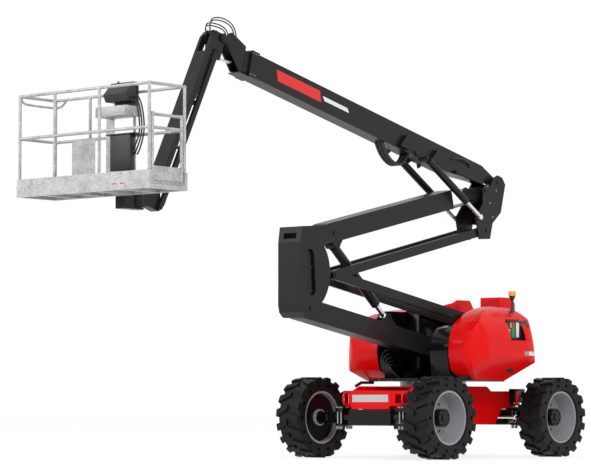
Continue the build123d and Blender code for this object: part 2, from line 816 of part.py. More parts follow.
with BuildPart() as upper_arm:
    add(arm_box(tower_top, 180 - upper_arm_angle, upper_arm_length, upper_arm_height))
    for y in both(arm_end_half_width, arm_half_width + 1):
        with BuildSketch(side(riser_arm, -upper_arm_angle, y)):
            Rectangle(2 * arm_end_taper, 3 * upper_arm_height)
        extrude(amount=arm_half_width + 1 - arm_end_half_width, mode=Mode.SUBTRACT)
    with BuildSketch(side(riser_arm, -upper_arm_angle, arm_half_width + 1)):
        with BuildLine():
            Polyline(
                (0, arm_end_radius), (arm_end_taper, upper_arm_height / 2), (arm_end_taper, 200), (0, 200),
                close=True)
        make_face()
    extrude(amount=2 * arm_half_width + 2, mode=Mode.SUBTRACT)
    root_top = arm_end_radius + (upper_arm_height / 2 - arm_end_radius) * arm_end_root / arm_end_taper
    with BuildSketch(side(riser_arm, -upper_arm_angle, arm_half_width + 1)):
        with Locations((arm_end_root / 2 - 200, 0)):
            Rectangle(arm_end_root + 400, 2 * upper_arm_height)
        add(root_outline(root_top), mode=Mode.SUBTRACT)
    extrude(amount=2 * arm_half_width + 2, mode=Mode.SUBTRACT)
    with BuildSketch(side(riser_arm, -upper_arm_angle, arm_end_half_width)):
        with BuildLine():
            Polyline(
                (0, arm_end_radius), (arm_end_taper, upper_arm_height / 2),
                (arm_end_taper, upper_arm_height / 2 - 12), (0, arm_end_radius - 12), close=True)
        make_face()
    extrude(amount=2 * arm_end_half_width)
    add(cross_pin(tower_top, arm_half_width + 1, pin_radius + pin_gap), mode=Mode.SUBTRACT)
    add(cross_pin(riser_arm, arm_half_width + 1, pin_radius + pin_gap), mode=Mode.SUBTRACT)
    below = upper_arm_height / 2
    ear = (-arm_cyl_on_upper[0], -below - arm_cyl_on_upper[1])
    for y in both(66, 88):
        with BuildSketch(side(tower_top, -upper_arm_angle, y)):
            with BuildLine():
                Polyline(
                    (ear[0] + 90, 4 - below), (ear[0] - 110, 4 - below), (ear[0] - 34, ear[1] - 16),
                    (ear[0] + 34, ear[1] - 16), close=True)
            make_face()
            with Locations(ear):
                Circle(40)
        extrude(amount=22)
    add(cross_pin(on_upper(arm_cyl_on_upper[0], below + arm_cyl_on_upper[1]), 90, small_pin))
save(upper_arm.part, "upper_arm")

upper_bars = link_bars(
    tower_middle, 180 - upper_arm_angle, upper_arm_length, upper_link_inner, upper_link_outer)
save(upper_bars, "upper_link")

# ---------------------------------------------------------------- tower between the lower and upper arms
tower_low = tower_foot[1] - 110
tower_high = tower_top[1] + 50
with BuildPart() as tower:
    for y in both(tower_inner, tower_outer):
        with BuildSketch(side(y=y)):
            with BuildLine():
                Line((tower_front, tower_low + 150), (tower_front, tower_high - 190))
                Line((tower_front, tower_high - 190), (tower_front - 30, tower_high))
                Line((tower_front - 30, tower_high), (tower_top[0], tower_top[1] + 96))
                Line((tower_top[0], tower_top[1] + 96), (tower_top[0] - 90, tower_top[1] + 30))
                Line((tower_top[0] - 90, tower_top[1] + 30), (tower_top[0] - 70, tower_top[1] - 70))
                Line((tower_top[0] - 70, tower_top[1] - 70), (tower_front - 440, tower_high - 220))
                ThreePointArc(
                    (tower_front - 440, tower_high - 220), (tower_front - 550, tower_middle[1] + 60),
                    (tower_front - 440, tower_low + 230))
                Line((tower_front - 440, tower_low + 230), (tower_foot[0] - 96, tower_foot[1] - 30))
                Line((tower_foot[0] - 96, tower_foot[1] - 30), (tower_foot[0] - 40, tower_low))
                Line((tower_foot[0] - 40, tower_low), (tower_front - 90, tower_low))
                Line((tower_front - 90, tower_low), (tower_front - 20, tower_low + 60))
                Line((tower_front - 20, tower_low + 60), (tower_front, tower_low + 150))
            make_face()
            with Locations((tower_front - 190, tower_middle[1] + 20)):
                SlotOverall(560, 150, rotation=86, mode=Mode.SUBTRACT)
        extrude(amount=tower_outer - tower_inner)
    with BuildSketch(side(y=tower_inner)):
        with BuildLine():
            Polyline(
                (tower_front, tower_low + 150), (tower_front, tower_high - 190), (tower_front - 30, tower_high),
                (tower_front - 160, tower_high + 8), (tower_front - 160, tower_high - 6),
                (tower_front - 43, tower_high - 14), (tower_front - tower_face_wall, tower_high - 194),
                (tower_front - tower_face_wall, tower_low + 154), (tower_front - 32, tower_low + 66),
                (tower_front - 96, tower_low + 12), (tower_front - 96, tower_low),
                (tower_front - 90, tower_low), (tower_front - 20, tower_low + 60), close=True)
        make_face()
    extrude(amount=2 * tower_inner)
    with Locations((tower_front - 20, 0, tower_high - 110)):
        Box(70, 200, 70, mode=Mode.SUBTRACT)
    with BuildSketch(side(y=tower_lug_half)):
        with BuildLine():
            Polyline(
                (tower_front - 4, tower_middle[1] + 200), (tower_middle[0] + 110, tower_middle[1] + 62),
                (tower_middle[0], tower_middle[1] + 58), (tower_middle[0], tower_middle[1] - 58),
                (tower_middle[0] + 110, tower_middle[1] - 62), (tower_front - 4, tower_middle[1] + 20), close=True)
        make_face()
        with Locations(tower_middle):
            Circle(58)
    extrude(amount=2 * tower_lug_half)
    with BuildSketch(side(y=tower_inner + 2)):
        with BuildLine():
            Polyline(
                (tower_front - 4, tower_middle[1] + 160), (tower_front - 400, tower_middle[1] + 60),
                (tower_front - 400, tower_middle[1] + 20), (tower_front - 4, tower_middle[1] + 120), close=True)
        make_face()
    extrude(amount=2 * tower_inner + 4)
    add(cross_pin(tower_foot, tower_outer + 12))
    add(cross_pin(tower_top, tower_outer + 12))
    add(cross_pin(tower_middle, lower_link_outer + 10))
save(tower.part, "tower")

# ---------------------------------------------------------------- riser that carries the boom
with BuildPart() as riser:
    for y in both(riser_inner, riser_outer):
        with BuildSketch(side(y=y)):
            with BuildLine():
                base = riser_arm
                Polyline(
                    shifted(base, (-180, 185)), shifted(base, (-270, 222)), shifted(base, (-365, 195)),
                    shifted(base, (-432, 110)), shifted(base, (-330, -265)), shifted(base, (-150, -410)),
                    shifted(base, (-90, -625)), shifted(base, (140, -640)), shifted(base, (215, -355)),
                    shifted(base, (60, -160)), shifted(base, (60, 20)), shifted(base, (-90, 60)), close=True)
            make_face()
            for place in (riser_arm, riser_link):
                with Locations(place):
                    Circle(62)
        extrude(amount=riser_outer - riser_inner)
    with BuildSketch(side(y=riser_inner + 2)):
        with BuildLine():
            Polyline(
                shifted(base, (-432, 110)), shifted(base, (-330, -265)), shifted(base, (-150, -410)),
                shifted(base, (-160, -425)), shifted(base, (-345, -272)), shifted(base, (-448, 106)), close=True)
        make_face()
    extrude(amount=2 * riser_inner + 4)
    add(cross_pin(riser_arm, riser_outer + 10))
    add(cross_pin(boom_pin, riser_outer + 10))
    add(cross_pin(riser_link, riser_outer + 10))
    cylinder_pin = shifted(boom_pin, boom_cyl_on_riser)
    boss_end = boom_cyl_y - boom_cyl_rod - 4
    for y in both(riser_inner, boss_end):
        with BuildSketch(side(cylinder_pin, y=y)):
            Circle(40)
        extrude(amount=boss_end - riser_inner)
    level_eye = shifted(boom_pin, level_cyl_on_riser)
    with BuildSketch(side(level_eye, y=riser_inner + 4)):
        Circle(26)
    extrude(amount=8)
save(riser.part, "riser")


# ---------------------------------------------------------------- cylinders
def barrel(start, end, radius, rod_radius, length, y, eye, wide, pin):
    """Cylinder barrel from its eye toward the rod's eye."""
    angle, reach = direction_of(start, end)
    middle = Plane(origin=(start[0], y, start[1]), x_dir=(0, 1, 0), z_dir=side((0, 0), angle).x_dir)
    with BuildPart() as body:
        with BuildSketch(middle.offset(eye * 0.7)):
            Circle(radius)
        extrude(amount=length - eye * 0.7)
        with BuildSketch(middle.offset(eye * 0.7 + 22)):
            Circle(rod_radius + pin_gap)
        extrude(amount=length, mode=Mode.SUBTRACT)
        with BuildSketch(side(start, angle, y + wide / 2)):
            Circle(eye)
            with Locations((eye * 0.7 / 2 + 4, 0)):
                Rectangle(eye * 0.7 + 8, 1.6 * min(eye, radius))
            Circle(pin + pin_gap, mode=Mode.SUBTRACT)
        extrude(amount=wide)
    return body.part


def rod(start, end, radius, length, y, eye, wide):
    """Piston rod with the eye at its end, reaching back into the barrel."""
    angle, reach = direction_of(end, start)
    middle = Plane(origin=(end[0], y, end[1]), x_dir=(0, 1, 0), z_dir=side((0, 0), angle).x_dir)
    with BuildPart() as body:
        with BuildSketch(middle.offset(eye * 0.5)):
            Circle(radius)
        extrude(amount=length - eye * 0.5)
        with BuildSketch(side(end, angle, y + wide / 2)):
            Circle(eye)
        extrude(amount=wide)
    return body.part


arm_cyl_start = on_upper(arm_cyl_on_upper[0], arm_cyl_on_upper[1] + upper_arm_height / 2)
arm_cyl_end = on_lower(*arm_cyl_on_lower)
save(
    barrel(arm_cyl_start, arm_cyl_end, arm_cyl_radius, arm_cyl_rod, arm_cyl_barrel, 0, 44, 116, small_pin),
    "arm_cylinder")
save(rod(arm_cyl_start, arm_cyl_end, arm_cyl_rod, arm_cyl_rod_length, 0, 44, 88), "arm_rod")

boom_cyl_start = on_boom(boom_cyl_on_boom)
boom_cyl_end = shifted(boom_pin, boom_cyl_on_riser)
with BuildPart() as boom_barrels:
    for y in (boom_cyl_y, -boom_cyl_y):
        add(barrel(
            boom_cyl_start, boom_cyl_end, boom_cyl_radius, boom_cyl_rod, boom_cyl_barrel, y, 42, 32, small_pin))
save(boom_barrels.part, "boom_cylinders")
with BuildPart() as boom_rods:
    for y in (boom_cyl_y, -boom_cyl_y):
        add(rod(boom_cyl_start, boom_cyl_end, boom_cyl_rod, boom_cyl_rod_length, y, 34, 32))
save(boom_rods.part, "boom_rods")

level_start = on_boom(level_cyl_on_boom)
level_end = shifted(boom_pin, level_cyl_on_riser)
save(
    barrel(
        level_start, level_end, level_cyl_radius, level_cyl_rod, level_cyl_barrel, level_cyl_y, 24, 24,
        level_pin),
    "level_cylinder")
save(rod(level_start, level_end, level_cyl_rod, level_cyl_rod_length, level_cyl_y, 22, 26), "level_rod")

tilt_start = on_boom(tilt_cyl_on_fly)
tilt_end = shifted(jib_bracket_pin, tilt_cyl_on_bracket)
save(
    barrel(tilt_start, tilt_end, tilt_cyl_radius, tilt_cyl_rod, tilt_cyl_barrel, 0, 28, 44, level_pin),
    "tilt_cylinder")
save(rod(tilt_start, tilt_end, tilt_cyl_rod, tilt_cyl_rod_length, 0, 26, 50), "tilt_rod")

jib_cyl_end = shifted(jib_top_pin, rotated((jib_cyl_along, -jib_cyl_behind), jib_angle))
save(
    barrel(jib_bottom_pin, jib_cyl_end, jib_cyl_radius, jib_cyl_rod, jib_cyl_barrel, 0, 28, 56, jib_pin_radius),
    "jib_cylinder")
save(rod(jib_bottom_pin, jib_cyl_end, jib_cyl_rod, jib_cyl_rod_length, 0, 24, 50), "jib_rod")

# ---------------------------------------------------------------- telescopic boom
tail = boom_tail_radius
high = boom_half_height
with BuildPart() as boom:
    with BuildSketch(side(boom_pin, boom_angle, boom_half_width)):
        with BuildLine():
            Polyline(
                (0, -tail), (boom_tail_flat, -tail), (boom_tail_taper, -high), (boom_front, -high),
                (boom_front, high), (boom_tail_top, high), (0, tail), close=True)
        make_face()
        Circle(tail)
    extrude(amount=2 * boom_half_width)
    with BuildSketch(side(boom_pin, boom_angle, boom_half_width - boom_wall)):
        with BuildLine():
            Polyline(
                (tail + 60, boom_wall - tail), (boom_tail_flat, boom_wall - tail), (boom_tail_taper, boom_wall - high),
                (boom_front + 1, boom_wall - high), (boom_front + 1, high - boom_wall),
                (boom_tail_top, high - boom_wall), (tail + 60, tail), close=True)
        make_face()
    extrude(amount=2 * (boom_half_width - boom_wall), mode=Mode.SUBTRACT)
    with BuildSketch(side(boom_pin, boom_angle, boom_half_width + collar_depth)):
        with Locations((boom_front - collar_length / 2, 0)):
            Rectangle(collar_length, 2 * (high + collar_depth))
    extrude(amount=2 * (boom_half_width + collar_depth))
    with BuildSketch(side(boom_pin, boom_angle, boom_half_width - boom_wall)):
        with Locations((boom_front - collar_length / 2, 0)):
            Rectangle(collar_length + 2, 2 * (high - boom_wall))
    extrude(amount=2 * (boom_half_width - boom_wall), mode=Mode.SUBTRACT)
    with BuildSketch(side(boom_pin, boom_angle, boom_half_width - 8)):
        with Locations((boom_front + tongue_length / 2 - 1, -high - collar_depth / 2)):
            Rectangle(tongue_length + 2, collar_depth)
    extrude(amount=2 * (boom_half_width - 8))
    pad = fly_gap - 0.3
    inside = boom_half_width - boom_wall
    for y in (inside, pad - inside):
        with BuildSketch(side(boom_pin, boom_angle, y)):
            with Locations((boom_front - 70, 0)):
                Rectangle(90, 150)
        extrude(amount=pad)
    for level in (high - boom_wall - pad / 2, pad / 2 - high + boom_wall):
        with BuildSketch(side(boom_pin, boom_angle, 60)):
            with Locations((boom_front - 70, level)):
                Rectangle(90, pad)
        extrude(amount=120)
    add(cross_pin(boom_pin, boom_half_width + 1, pin_radius + pin_gap), mode=Mode.SUBTRACT)
    for y in both(boom_half_width - 2, boom_half_width + 16):
        with BuildSketch(side(boom_pin, boom_angle, y)):
            with BuildLine():
                mid = boom_cyl_on_boom[0]
                Polyline(
                    (mid - 150, -high + 60), (mid + 150, -high + 60), (mid + 34, boom_cyl_on_boom[1] - 20),
                    (mid - 34, boom_cyl_on_boom[1] - 20), close=True)
            make_face()
            with Locations(boom_cyl_on_boom):
                Circle(40)
        extrude(amount=18)
    for y in both(boom_half_width, boom_cyl_y + 24):
        with BuildSketch(side(boom_cyl_start, 0, y)):
            Circle(small_pin)
        extrude(amount=boom_cyl_y + 24 - boom_half_width)
    boss_end = boom_cyl_y - boom_cyl_radius - 3
    for y in both(boom_half_width, boss_end):
        with BuildSketch(side(boom_cyl_start, 0, y)):
            Circle(30)
        extrude(amount=boss_end - boom_half_width)
    with BuildSketch(side(level_start, 0, level_cyl_y + 16)):
        Circle(level_pin)
    extrude(amount=level_cyl_y + 16 - boom_half_width + 4)
save(boom.part, "boom")

fly_half = boom_half_width - boom_wall - fly_gap
fly_high = boom_half_height - boom_wall - fly_gap
with BuildPart() as fly:
    with BuildSketch(side(boom_pin, boom_angle, fly_half)):
        with Locations(((fly_start + fly_front) / 2, 0)):
            Rectangle(fly_front - fly_start, 2 * fly_high)
    extrude(amount=2 * fly_half)
    with BuildSketch(side(boom_pin, boom_angle, fly_half - fly_wall)):
        with Locations(((fly_start + fly_front) / 2, 0)):
            Rectangle(fly_front - fly_start + 2, 2 * (fly_high - fly_wall))
    extrude(amount=2 * (fly_half - fly_wall), mode=Mode.SUBTRACT)
    for y in (fly_half + pad, -fly_half):
        with BuildSketch(side(boom_pin, boom_angle, y)):
            with Locations((fly_start + 60, 0)):
                Rectangle(90, 150)
        extrude(amount=pad)
    for level in (fly_high + pad / 2, -fly_high - pad / 2):
        with BuildSketch(side(boom_pin, boom_angle, 60)):
            with Locations((fly_start + 60, level)):
                Rectangle(90, pad)
        extrude(amount=120)
    for y in both(nose_inner, nose_outer):
        with BuildSketch(side(boom_pin, boom_angle, y)):
            with BuildLine():
                Polyline(
                    (4930, -118), (5072, -138), (5340, 112), (5420, 104), (5340, 235), (5290, 262),
                    (5022, 180), (5022, 110), (4930, 110), close=True)
            make_face()
            with Locations(rotated(nose_pin, -boom_angle)):
                Circle(nose_boss)
        extrude(amount=nose_outer - nose_inner)
    add(cross_pin(jib_bracket_pin, nose_outer + 6, nose_pin_radius))
    add(cross_pin(tilt_start, fly_half - 2, level_pin))
save(fly.part, "fly_boom")

# ---------------------------------------------------------------- jib
with BuildPart() as bracket:
    for y in both(jib_cheek_inner, jib_block_half):
        with BuildSketch(side(y=y)):
            with Locations(jib_bracket_pin):
                Circle(46)
            with Locations(tilt_end):
                Circle(30)
            with Locations(jib_top_pin, jib_bottom_pin):
                Circle(jib_boss)
            make_hull()
            with Locations(jib_bracket_pin):
                Circle(nose_pin_radius + pin_gap, mode=Mode.SUBTRACT)
        extrude(amount=jib_block_half - jib_cheek_inner)
    brace = shifted(jib_bracket_pin, (82, -60))
    add(cross_pin(brace, jib_cheek_inner + 2, 14))
    for place in (jib_top_pin, jib_bottom_pin):
        add(cross_pin(place, jib_half_width + 5, jib_pin_radius))
save(bracket.part, "jib_bracket")

with BuildPart() as jib:
    with BuildSketch(side(jib_top_pin, jib_angle, jib_half_width)):
        with BuildLine():
            Polyline(
                (0, -jib_bar_rear), (jib_length, -jib_bar_rear), (jib_length, jib_bar_rear),
                (jib_length - 70, jib_bar_front), (70, jib_bar_front), (0, jib_bar_rear), close=True)
        make_face()
        with Locations((0, 0), (jib_length, 0)):
            Circle(jib_bar_rear)
    extrude(amount=2 * jib_half_width)
    for middle in (0, jib_length):
        with BuildSketch(side(jib_top_pin, jib_angle, jib_fork_inner)):
            with Locations((middle, 0)):
                Rectangle(2 * jib_box_start, 400)
        extrude(amount=2 * jib_fork_inner, mode=Mode.SUBTRACT)
    with BuildSketch(side(jib_top_pin, jib_angle, jib_half_width - jib_wall)):
        with Locations((jib_length / 2, (jib_bar_front - jib_bar_rear) / 2)):
            Rectangle(
                jib_length - 2 * jib_box_start - 2 * jib_wall, jib_bar_front + jib_bar_rear - 2 * jib_wall)
    extrude(amount=2 * (jib_half_width - jib_wall), mode=Mode.SUBTRACT)
    for place in (jib_top_pin, head_top_pin):
        add(cross_pin(place, jib_half_width + 1, jib_pin_radius + pin_gap), mode=Mode.SUBTRACT)
    for y in both(32, 48):
        with BuildSketch(side(jib_top_pin, jib_angle, y)):
            with BuildLine():
                Polyline(
                    (jib_cyl_along - 60, 1 - jib_bar_rear), (jib_cyl_along + 60, 1 - jib_bar_rear),
                    (jib_cyl_along + 22, -jib_cyl_behind - 14), (jib_cyl_along - 22, -jib_cyl_behind - 14),
                    close=True)
            make_face()
            with Locations((jib_cyl_along, -jib_cyl_behind)):
                Circle(24)
                Circle(12, mode=Mode.SUBTRACT)
        extrude(amount=16)
save(jib.part, "jib_arm")

with BuildPart() as jib_link:
    for y in both(jib_fork_inner, jib_half_width):
        with BuildSketch(side(jib_bottom_pin, jib_angle, y)):
            with BuildLine():
                Polyline(
                    (0, -jib_link_front), (60, -jib_link_rear), (jib_length - 60, -jib_link_rear),
                    (jib_length, -jib_link_front), (jib_length, jib_link_front), (0, jib_link_front), close=True)
            make_face()
            with Locations((0, 0), (jib_length, 0)):
                Circle(jib_link_front)
                Circle(jib_pin_radius + pin_gap, mode=Mode.SUBTRACT)
        extrude(amount=jib_half_width - jib_fork_inner)
    for along in (1300, 1750):
        place = shifted(jib_bottom_pin, rotated((along, -8), jib_angle))
        add(cross_pin(place, jib_fork_inner + 2, 16))
save(jib_link.part, "jib_link")

rotator_low = rotator_mid_z - rotator_height / 2
with BuildPart() as head:
    with BuildSketch(side(y=jib_block_half)):
        with Locations(head_top_pin, head_bottom_pin):
            Circle(jib_boss)
        with Locations((head_top_pin[0] + 120, head_top_pin[1] - 30), (head_top_pin[0] + 120, rotator_low + 40)):
            Circle(30)
        make_hull()
    extrude(amount=2 * jib_block_half)
    with BuildSketch(Plane.XY.offset(rotator_low)):
        with Locations((rotator_axis_x, 0)):
            Circle(rotator_radius)
    extrude(amount=rotator_height)
    with Locations(((head_top_pin[0] + 100 + rotator_axis_x) / 2, 0, rotator_mid_z)):
        Box(rotator_axis_x - head_top_pin[0] - 100, 2 * jib_block_half, rotator_height - 40)
    for place in (head_top_pin, head_bottom_pin):
        add(cross_pin(place, jib_half_width + 5, jib_pin_radius))
save(head.part, "jib_head")

# ---------------------------------------------------------------- platform
rear_x = rotator_axis_x + basket_rear
front_x = rear_x + basket_depth
centre_x = (rear_x + front_x) / 2
base_z = rotator_mid_z + basket_bottom
floor_z = base_z + floor_frame
with BuildPart() as clevis:
    for low in (rotator_low - clevis_gap - clevis_plate, rotator_low + rotator_height + clevis_gap):
        with BuildSketch(Plane.XY.offset(low)):
            with Locations((rotator_axis_x, 0)):
                Circle(clevis_half + 14)
            with Locations(((rotator_axis_x + rear_x) / 2, 0)):
                Rectangle(rear_x - rotator_axis_x - 0.6, 2 * clevis_half)
        extrude(amount=clevis_plate)
    web_start = rotator_axis_x + rotator_radius + 14
    with Locations(((web_start + rear_x - 0.3) / 2, 0, rotator_mid_z)):
        Box(rear_x - 0.3 - web_start, 2 * clevis_half, rotator_height + 2 * clevis_gap + 2 * clevis_plate)
    for low in (rotator_low - clevis_gap, rotator_low + rotator_height + 0.3):
        with BuildSketch(Plane.XY.offset(low)):
            with Locations((rotator_axis_x, 0)):
                Circle(40)
        extrude(amount=clevis_gap - 0.3)
save(clevis.part, "platform_clevis")

with BuildPart() as floor:
    with BuildSketch(Plane.XY.offset(base_z)):
        with Locations((centre_x, 0)):
            Rectangle(basket_depth, 2 * basket_half_width)
            for index in range(-2, 3):
                with Locations((0, index * 410)):
                    Rectangle(basket_depth - 90, 350, mode=Mode.SUBTRACT)
    extrude(amount=floor_frame - floor_plate)
    with BuildSketch(Plane.XY.offset(floor_z - floor_plate)):
        with Locations((centre_x, 0)):
            Rectangle(basket_depth, 2 * basket_half_width)
    extrude(amount=floor_plate)
save(floor.part, "platform_floor")

with BuildPart() as toes:
    with BuildSketch(Plane.XY.offset(floor_z)):
        with Locations((centre_x, 0)):
            Rectangle(basket_depth, 2 * basket_half_width)
            Rectangle(basket_depth - 2 * toe_wall, 2 * basket_half_width - 2 * toe_wall, mode=Mode.SUBTRACT)
    extrude(amount=toe_height)
    with Locations((centre_x, basket_half_width, floor_z + toe_height / 2)):
        Box(basket_depth - 90, 4 * toe_wall, toe_height + 2, mode=Mode.SUBTRACT)
save(toes.part, "toe_boards")


def tube(start, end, radius=rail_radius):
    """Straight rail between two points."""
    step = Vector(*end) - Vector(*start)
    with BuildPart() as rail:
        with BuildSketch(Plane(origin=start, z_dir=step)):
            Circle(radius)
        extrude(amount=step.length)
    return rail.part


inset = toe_wall + rail_radius + 0.5
rail_rear = rear_x + inset
rail_front = front_x - inset
rail_side = basket_half_width - inset
top_z = floor_z + top_rail_height - floor_frame
mid_z = floor_z + mid_rail_height - floor_frame
gate_rear = rail_rear + 2 * rail_radius + gate_gap
gate_front = rail_front - 2 * rail_radius - gate_gap
gate_top = mid_z + 160
gate_low = floor_z + 40
with BuildPart() as rails:
    for level in (top_z, mid_z):
        add(tube((rail_front, -rail_side, level), (rail_front, rail_side, level)))
        add(tube((rail_rear, -rail_side, level), (rail_rear, rail_side, level)))
        add(tube((rail_rear, -rail_side, level), (rail_front, -rail_side, level)))
        if level == top_z:
            add(tube((rail_rear, rail_side, level), (rail_front, rail_side, level)))
    for x in (rail_rear, rail_front):
        for y in (-rail_side, rail_side):
            add(tube((x, y, floor_z), (x, y, top_z)))
            for level in (top_z, mid_z):
                with Locations((x, y, level)):
                    Sphere(rail_radius + 2)
    for x, places in ((rail_front, (-450, 250)), (rail_rear, (-450, 250))):
        for y in places:
            add(tube((x, y, floor_z), (x, y, top_z)))
    for lug_z in (gate_low - gate_lug / 2 - 0.3, gate_top + gate_lug / 2 + 0.3):
        with Locations(((gate_front + rail_front) / 2, rail_side, lug_z)):
            Box(rail_front - gate_front + 2 * rail_radius, 1.6 * rail_radius, gate_lug)
save(rails.part, "guard_rails")
with BuildPart() as gate:
    for x in (gate_rear, gate_front):
        add(tube((x, rail_side, gate_low), (x, rail_side, gate_top)))
    for level in (gate_low + rail_radius, mid_z, gate_top - rail_radius):
        add(tube((gate_rear, rail_side, level), (gate_front, rail_side, level)))
    with Locations(((gate_rear + gate_front) / 2, rail_side, gate_low + 80)):
        Box(gate_front - gate_rear, 4, 160)
save(gate.part, "gate")

with BuildPart() as console:
    with BuildSketch(Plane.YZ.offset(rail_rear + rail_radius + 0.3)):
        with Locations((150, top_z - 60)):
            Rectangle(360, 260)
    extrude(amount=20)
    with BuildSketch(side(y=320)):
        with BuildLine():
            low_x = rail_rear + rail_radius + 20
            Polyline(
                (low_x, top_z - 110), (low_x + 150, top_z - 110), (low_x + 190, top_z - 30),
                (low_x + 60, top_z + 110), (low_x, top_z + 110), close=True)
        make_face()
    extrude(amount=340)
save(console.part, "platform_console")

# ---------------------------------------------------------------- chassis covers
for name, sense in (("cover_front", 1), ("cover_rear", -1)):
    with BuildPart() as cover:
        with BuildSketch(Plane.XY.offset(cover_bottom)):
            with BuildLine():
                Polyline(
                    (cover_front_x, -cover_half_width), (cover_front_x, cover_half_width),
                    (cover_wing_x, cover_wing_y),
                    (frame_half_length + 2, cover_wing_y), (frame_half_length + 2, -cover_wing_y),
                    (cover_wing_x, -cover_wing_y), close=True)
            make_face()
            offset(amount=-cover_wall, kind=Kind.INTERSECTION, mode=Mode.SUBTRACT)
            with Locations((frame_half_length + 2, 0)):
                Rectangle(4 * cover_wall, 2 * cover_wing_y - 2 * cover_wall, mode=Mode.SUBTRACT)
        extrude(amount=cover_top - cover_bottom)
        with BuildSketch(Plane.XY.offset(cover_top)):
            with BuildLine():
                Polyline(
                    (cover_front_x, -cover_half_width), (cover_front_x, cover_half_width),
                    (cover_wing_x, cover_wing_y),
                    (frame_half_length + 2, cover_wing_y), (frame_half_length + 2, -cover_wing_y),
                    (cover_wing_x, -cover_wing_y), close=True)
            make_face()
        extrude(amount=cover_wall)
        with Locations((cover_front_x - cover_wall / 2, 0, (apron_bottom + cover_bottom) / 2)):
            Box(cover_wall, 2 * apron_half_width, cover_bottom - apron_bottom)
        for hand in (1, -1):
            with Locations((cover_wing_x + 40, hand * (cover_wing_y - 60), (cover_bottom + cover_top) / 2)):
                Box(110, 200, 110, mode=Mode.SUBTRACT)
    shape = cover.part if sense > 0 else cover.part.rotate(Axis.Z, 180)
    save(shape, name)
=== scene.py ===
"""Looks of the articulating boom lift: finishes, smooth hoods, hoses, fittings, floor, light and camera."""
import json
from math import cos, pi, radians, sin

import bmesh
import bpy
from mathutils import Matrix, Vector
from mathutils.bvhtree import BVHTree


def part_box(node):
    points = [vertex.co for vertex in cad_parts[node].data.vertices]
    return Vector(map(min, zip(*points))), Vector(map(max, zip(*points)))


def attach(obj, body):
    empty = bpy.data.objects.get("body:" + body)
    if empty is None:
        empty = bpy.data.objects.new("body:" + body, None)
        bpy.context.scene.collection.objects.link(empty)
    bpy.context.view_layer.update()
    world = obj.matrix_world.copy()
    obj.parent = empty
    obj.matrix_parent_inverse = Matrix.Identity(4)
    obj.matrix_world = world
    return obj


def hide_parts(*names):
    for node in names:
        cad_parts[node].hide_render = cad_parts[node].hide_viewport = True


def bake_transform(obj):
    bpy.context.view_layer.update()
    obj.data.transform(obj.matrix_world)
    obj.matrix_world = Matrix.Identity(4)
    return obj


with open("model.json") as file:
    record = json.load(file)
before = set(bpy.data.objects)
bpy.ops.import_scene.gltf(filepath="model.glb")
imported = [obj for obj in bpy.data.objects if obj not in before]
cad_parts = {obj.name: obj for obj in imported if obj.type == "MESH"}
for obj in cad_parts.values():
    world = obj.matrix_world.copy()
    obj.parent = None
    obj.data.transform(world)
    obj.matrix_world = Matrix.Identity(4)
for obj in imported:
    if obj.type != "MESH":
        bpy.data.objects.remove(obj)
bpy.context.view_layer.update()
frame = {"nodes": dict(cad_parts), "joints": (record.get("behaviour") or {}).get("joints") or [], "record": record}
pins = {joint["name"]: Vector(joint.get("pos_m") or (0, 0, 0)) for joint in frame["joints"]}


# ---------------------------------------------------------------- shader sums
def link(tree, value, socket):
    """Feed a socket from a signal, or set it to a plain value."""
    if isinstance(value, Signal):
        tree.links.new(value.socket, socket)
    else:
        socket.default_value = value


def add_node(tree, kind, settings, inputs, output=0):
    """Any node of a tree: its settings first, then what feeds its sockets."""
    made = tree.nodes.new(kind)
    for key, value in settings.items():
        setattr(made, key, value)
    for key, value in inputs.items():
        link(tree, value, made.inputs[key])
    return Signal(tree, made.outputs[output])


class Signal:
    """A value running through a node tree; + - * add the Math nodes."""

    def __init__(self, tree, socket):
        self.tree = tree
        self.socket = socket

    def math(self, operation, first, second, clamp=False):
        return add_node(
            self.tree, "ShaderNodeMath", {"operation": operation, "use_clamp": clamp}, {0: first, 1: second})

    def __add__(self, other):
        return self.math("ADD", self, other)

    def __sub__(self, other):
        return self.math("SUBTRACT", self, other)

    def __rsub__(self, other):
        return self.math("SUBTRACT", other, self)

    def __mul__(self, other):
        return self.math("MULTIPLY", self, other)

    __radd__ = __add__
    __rmul__ = __mul__

    def either(self, other):
        """1 where one of two 0 or 1 signals is 1."""
        return self.math("ADD", self, other, clamp=True)

    def ramp(self, low, high):
        """0 at low, 1 at high, straight between."""
        return add_node(
            self.tree, "ShaderNodeMapRange", {"clamp": True},
            {"Value": self, "From Min": low, "From Max": high})


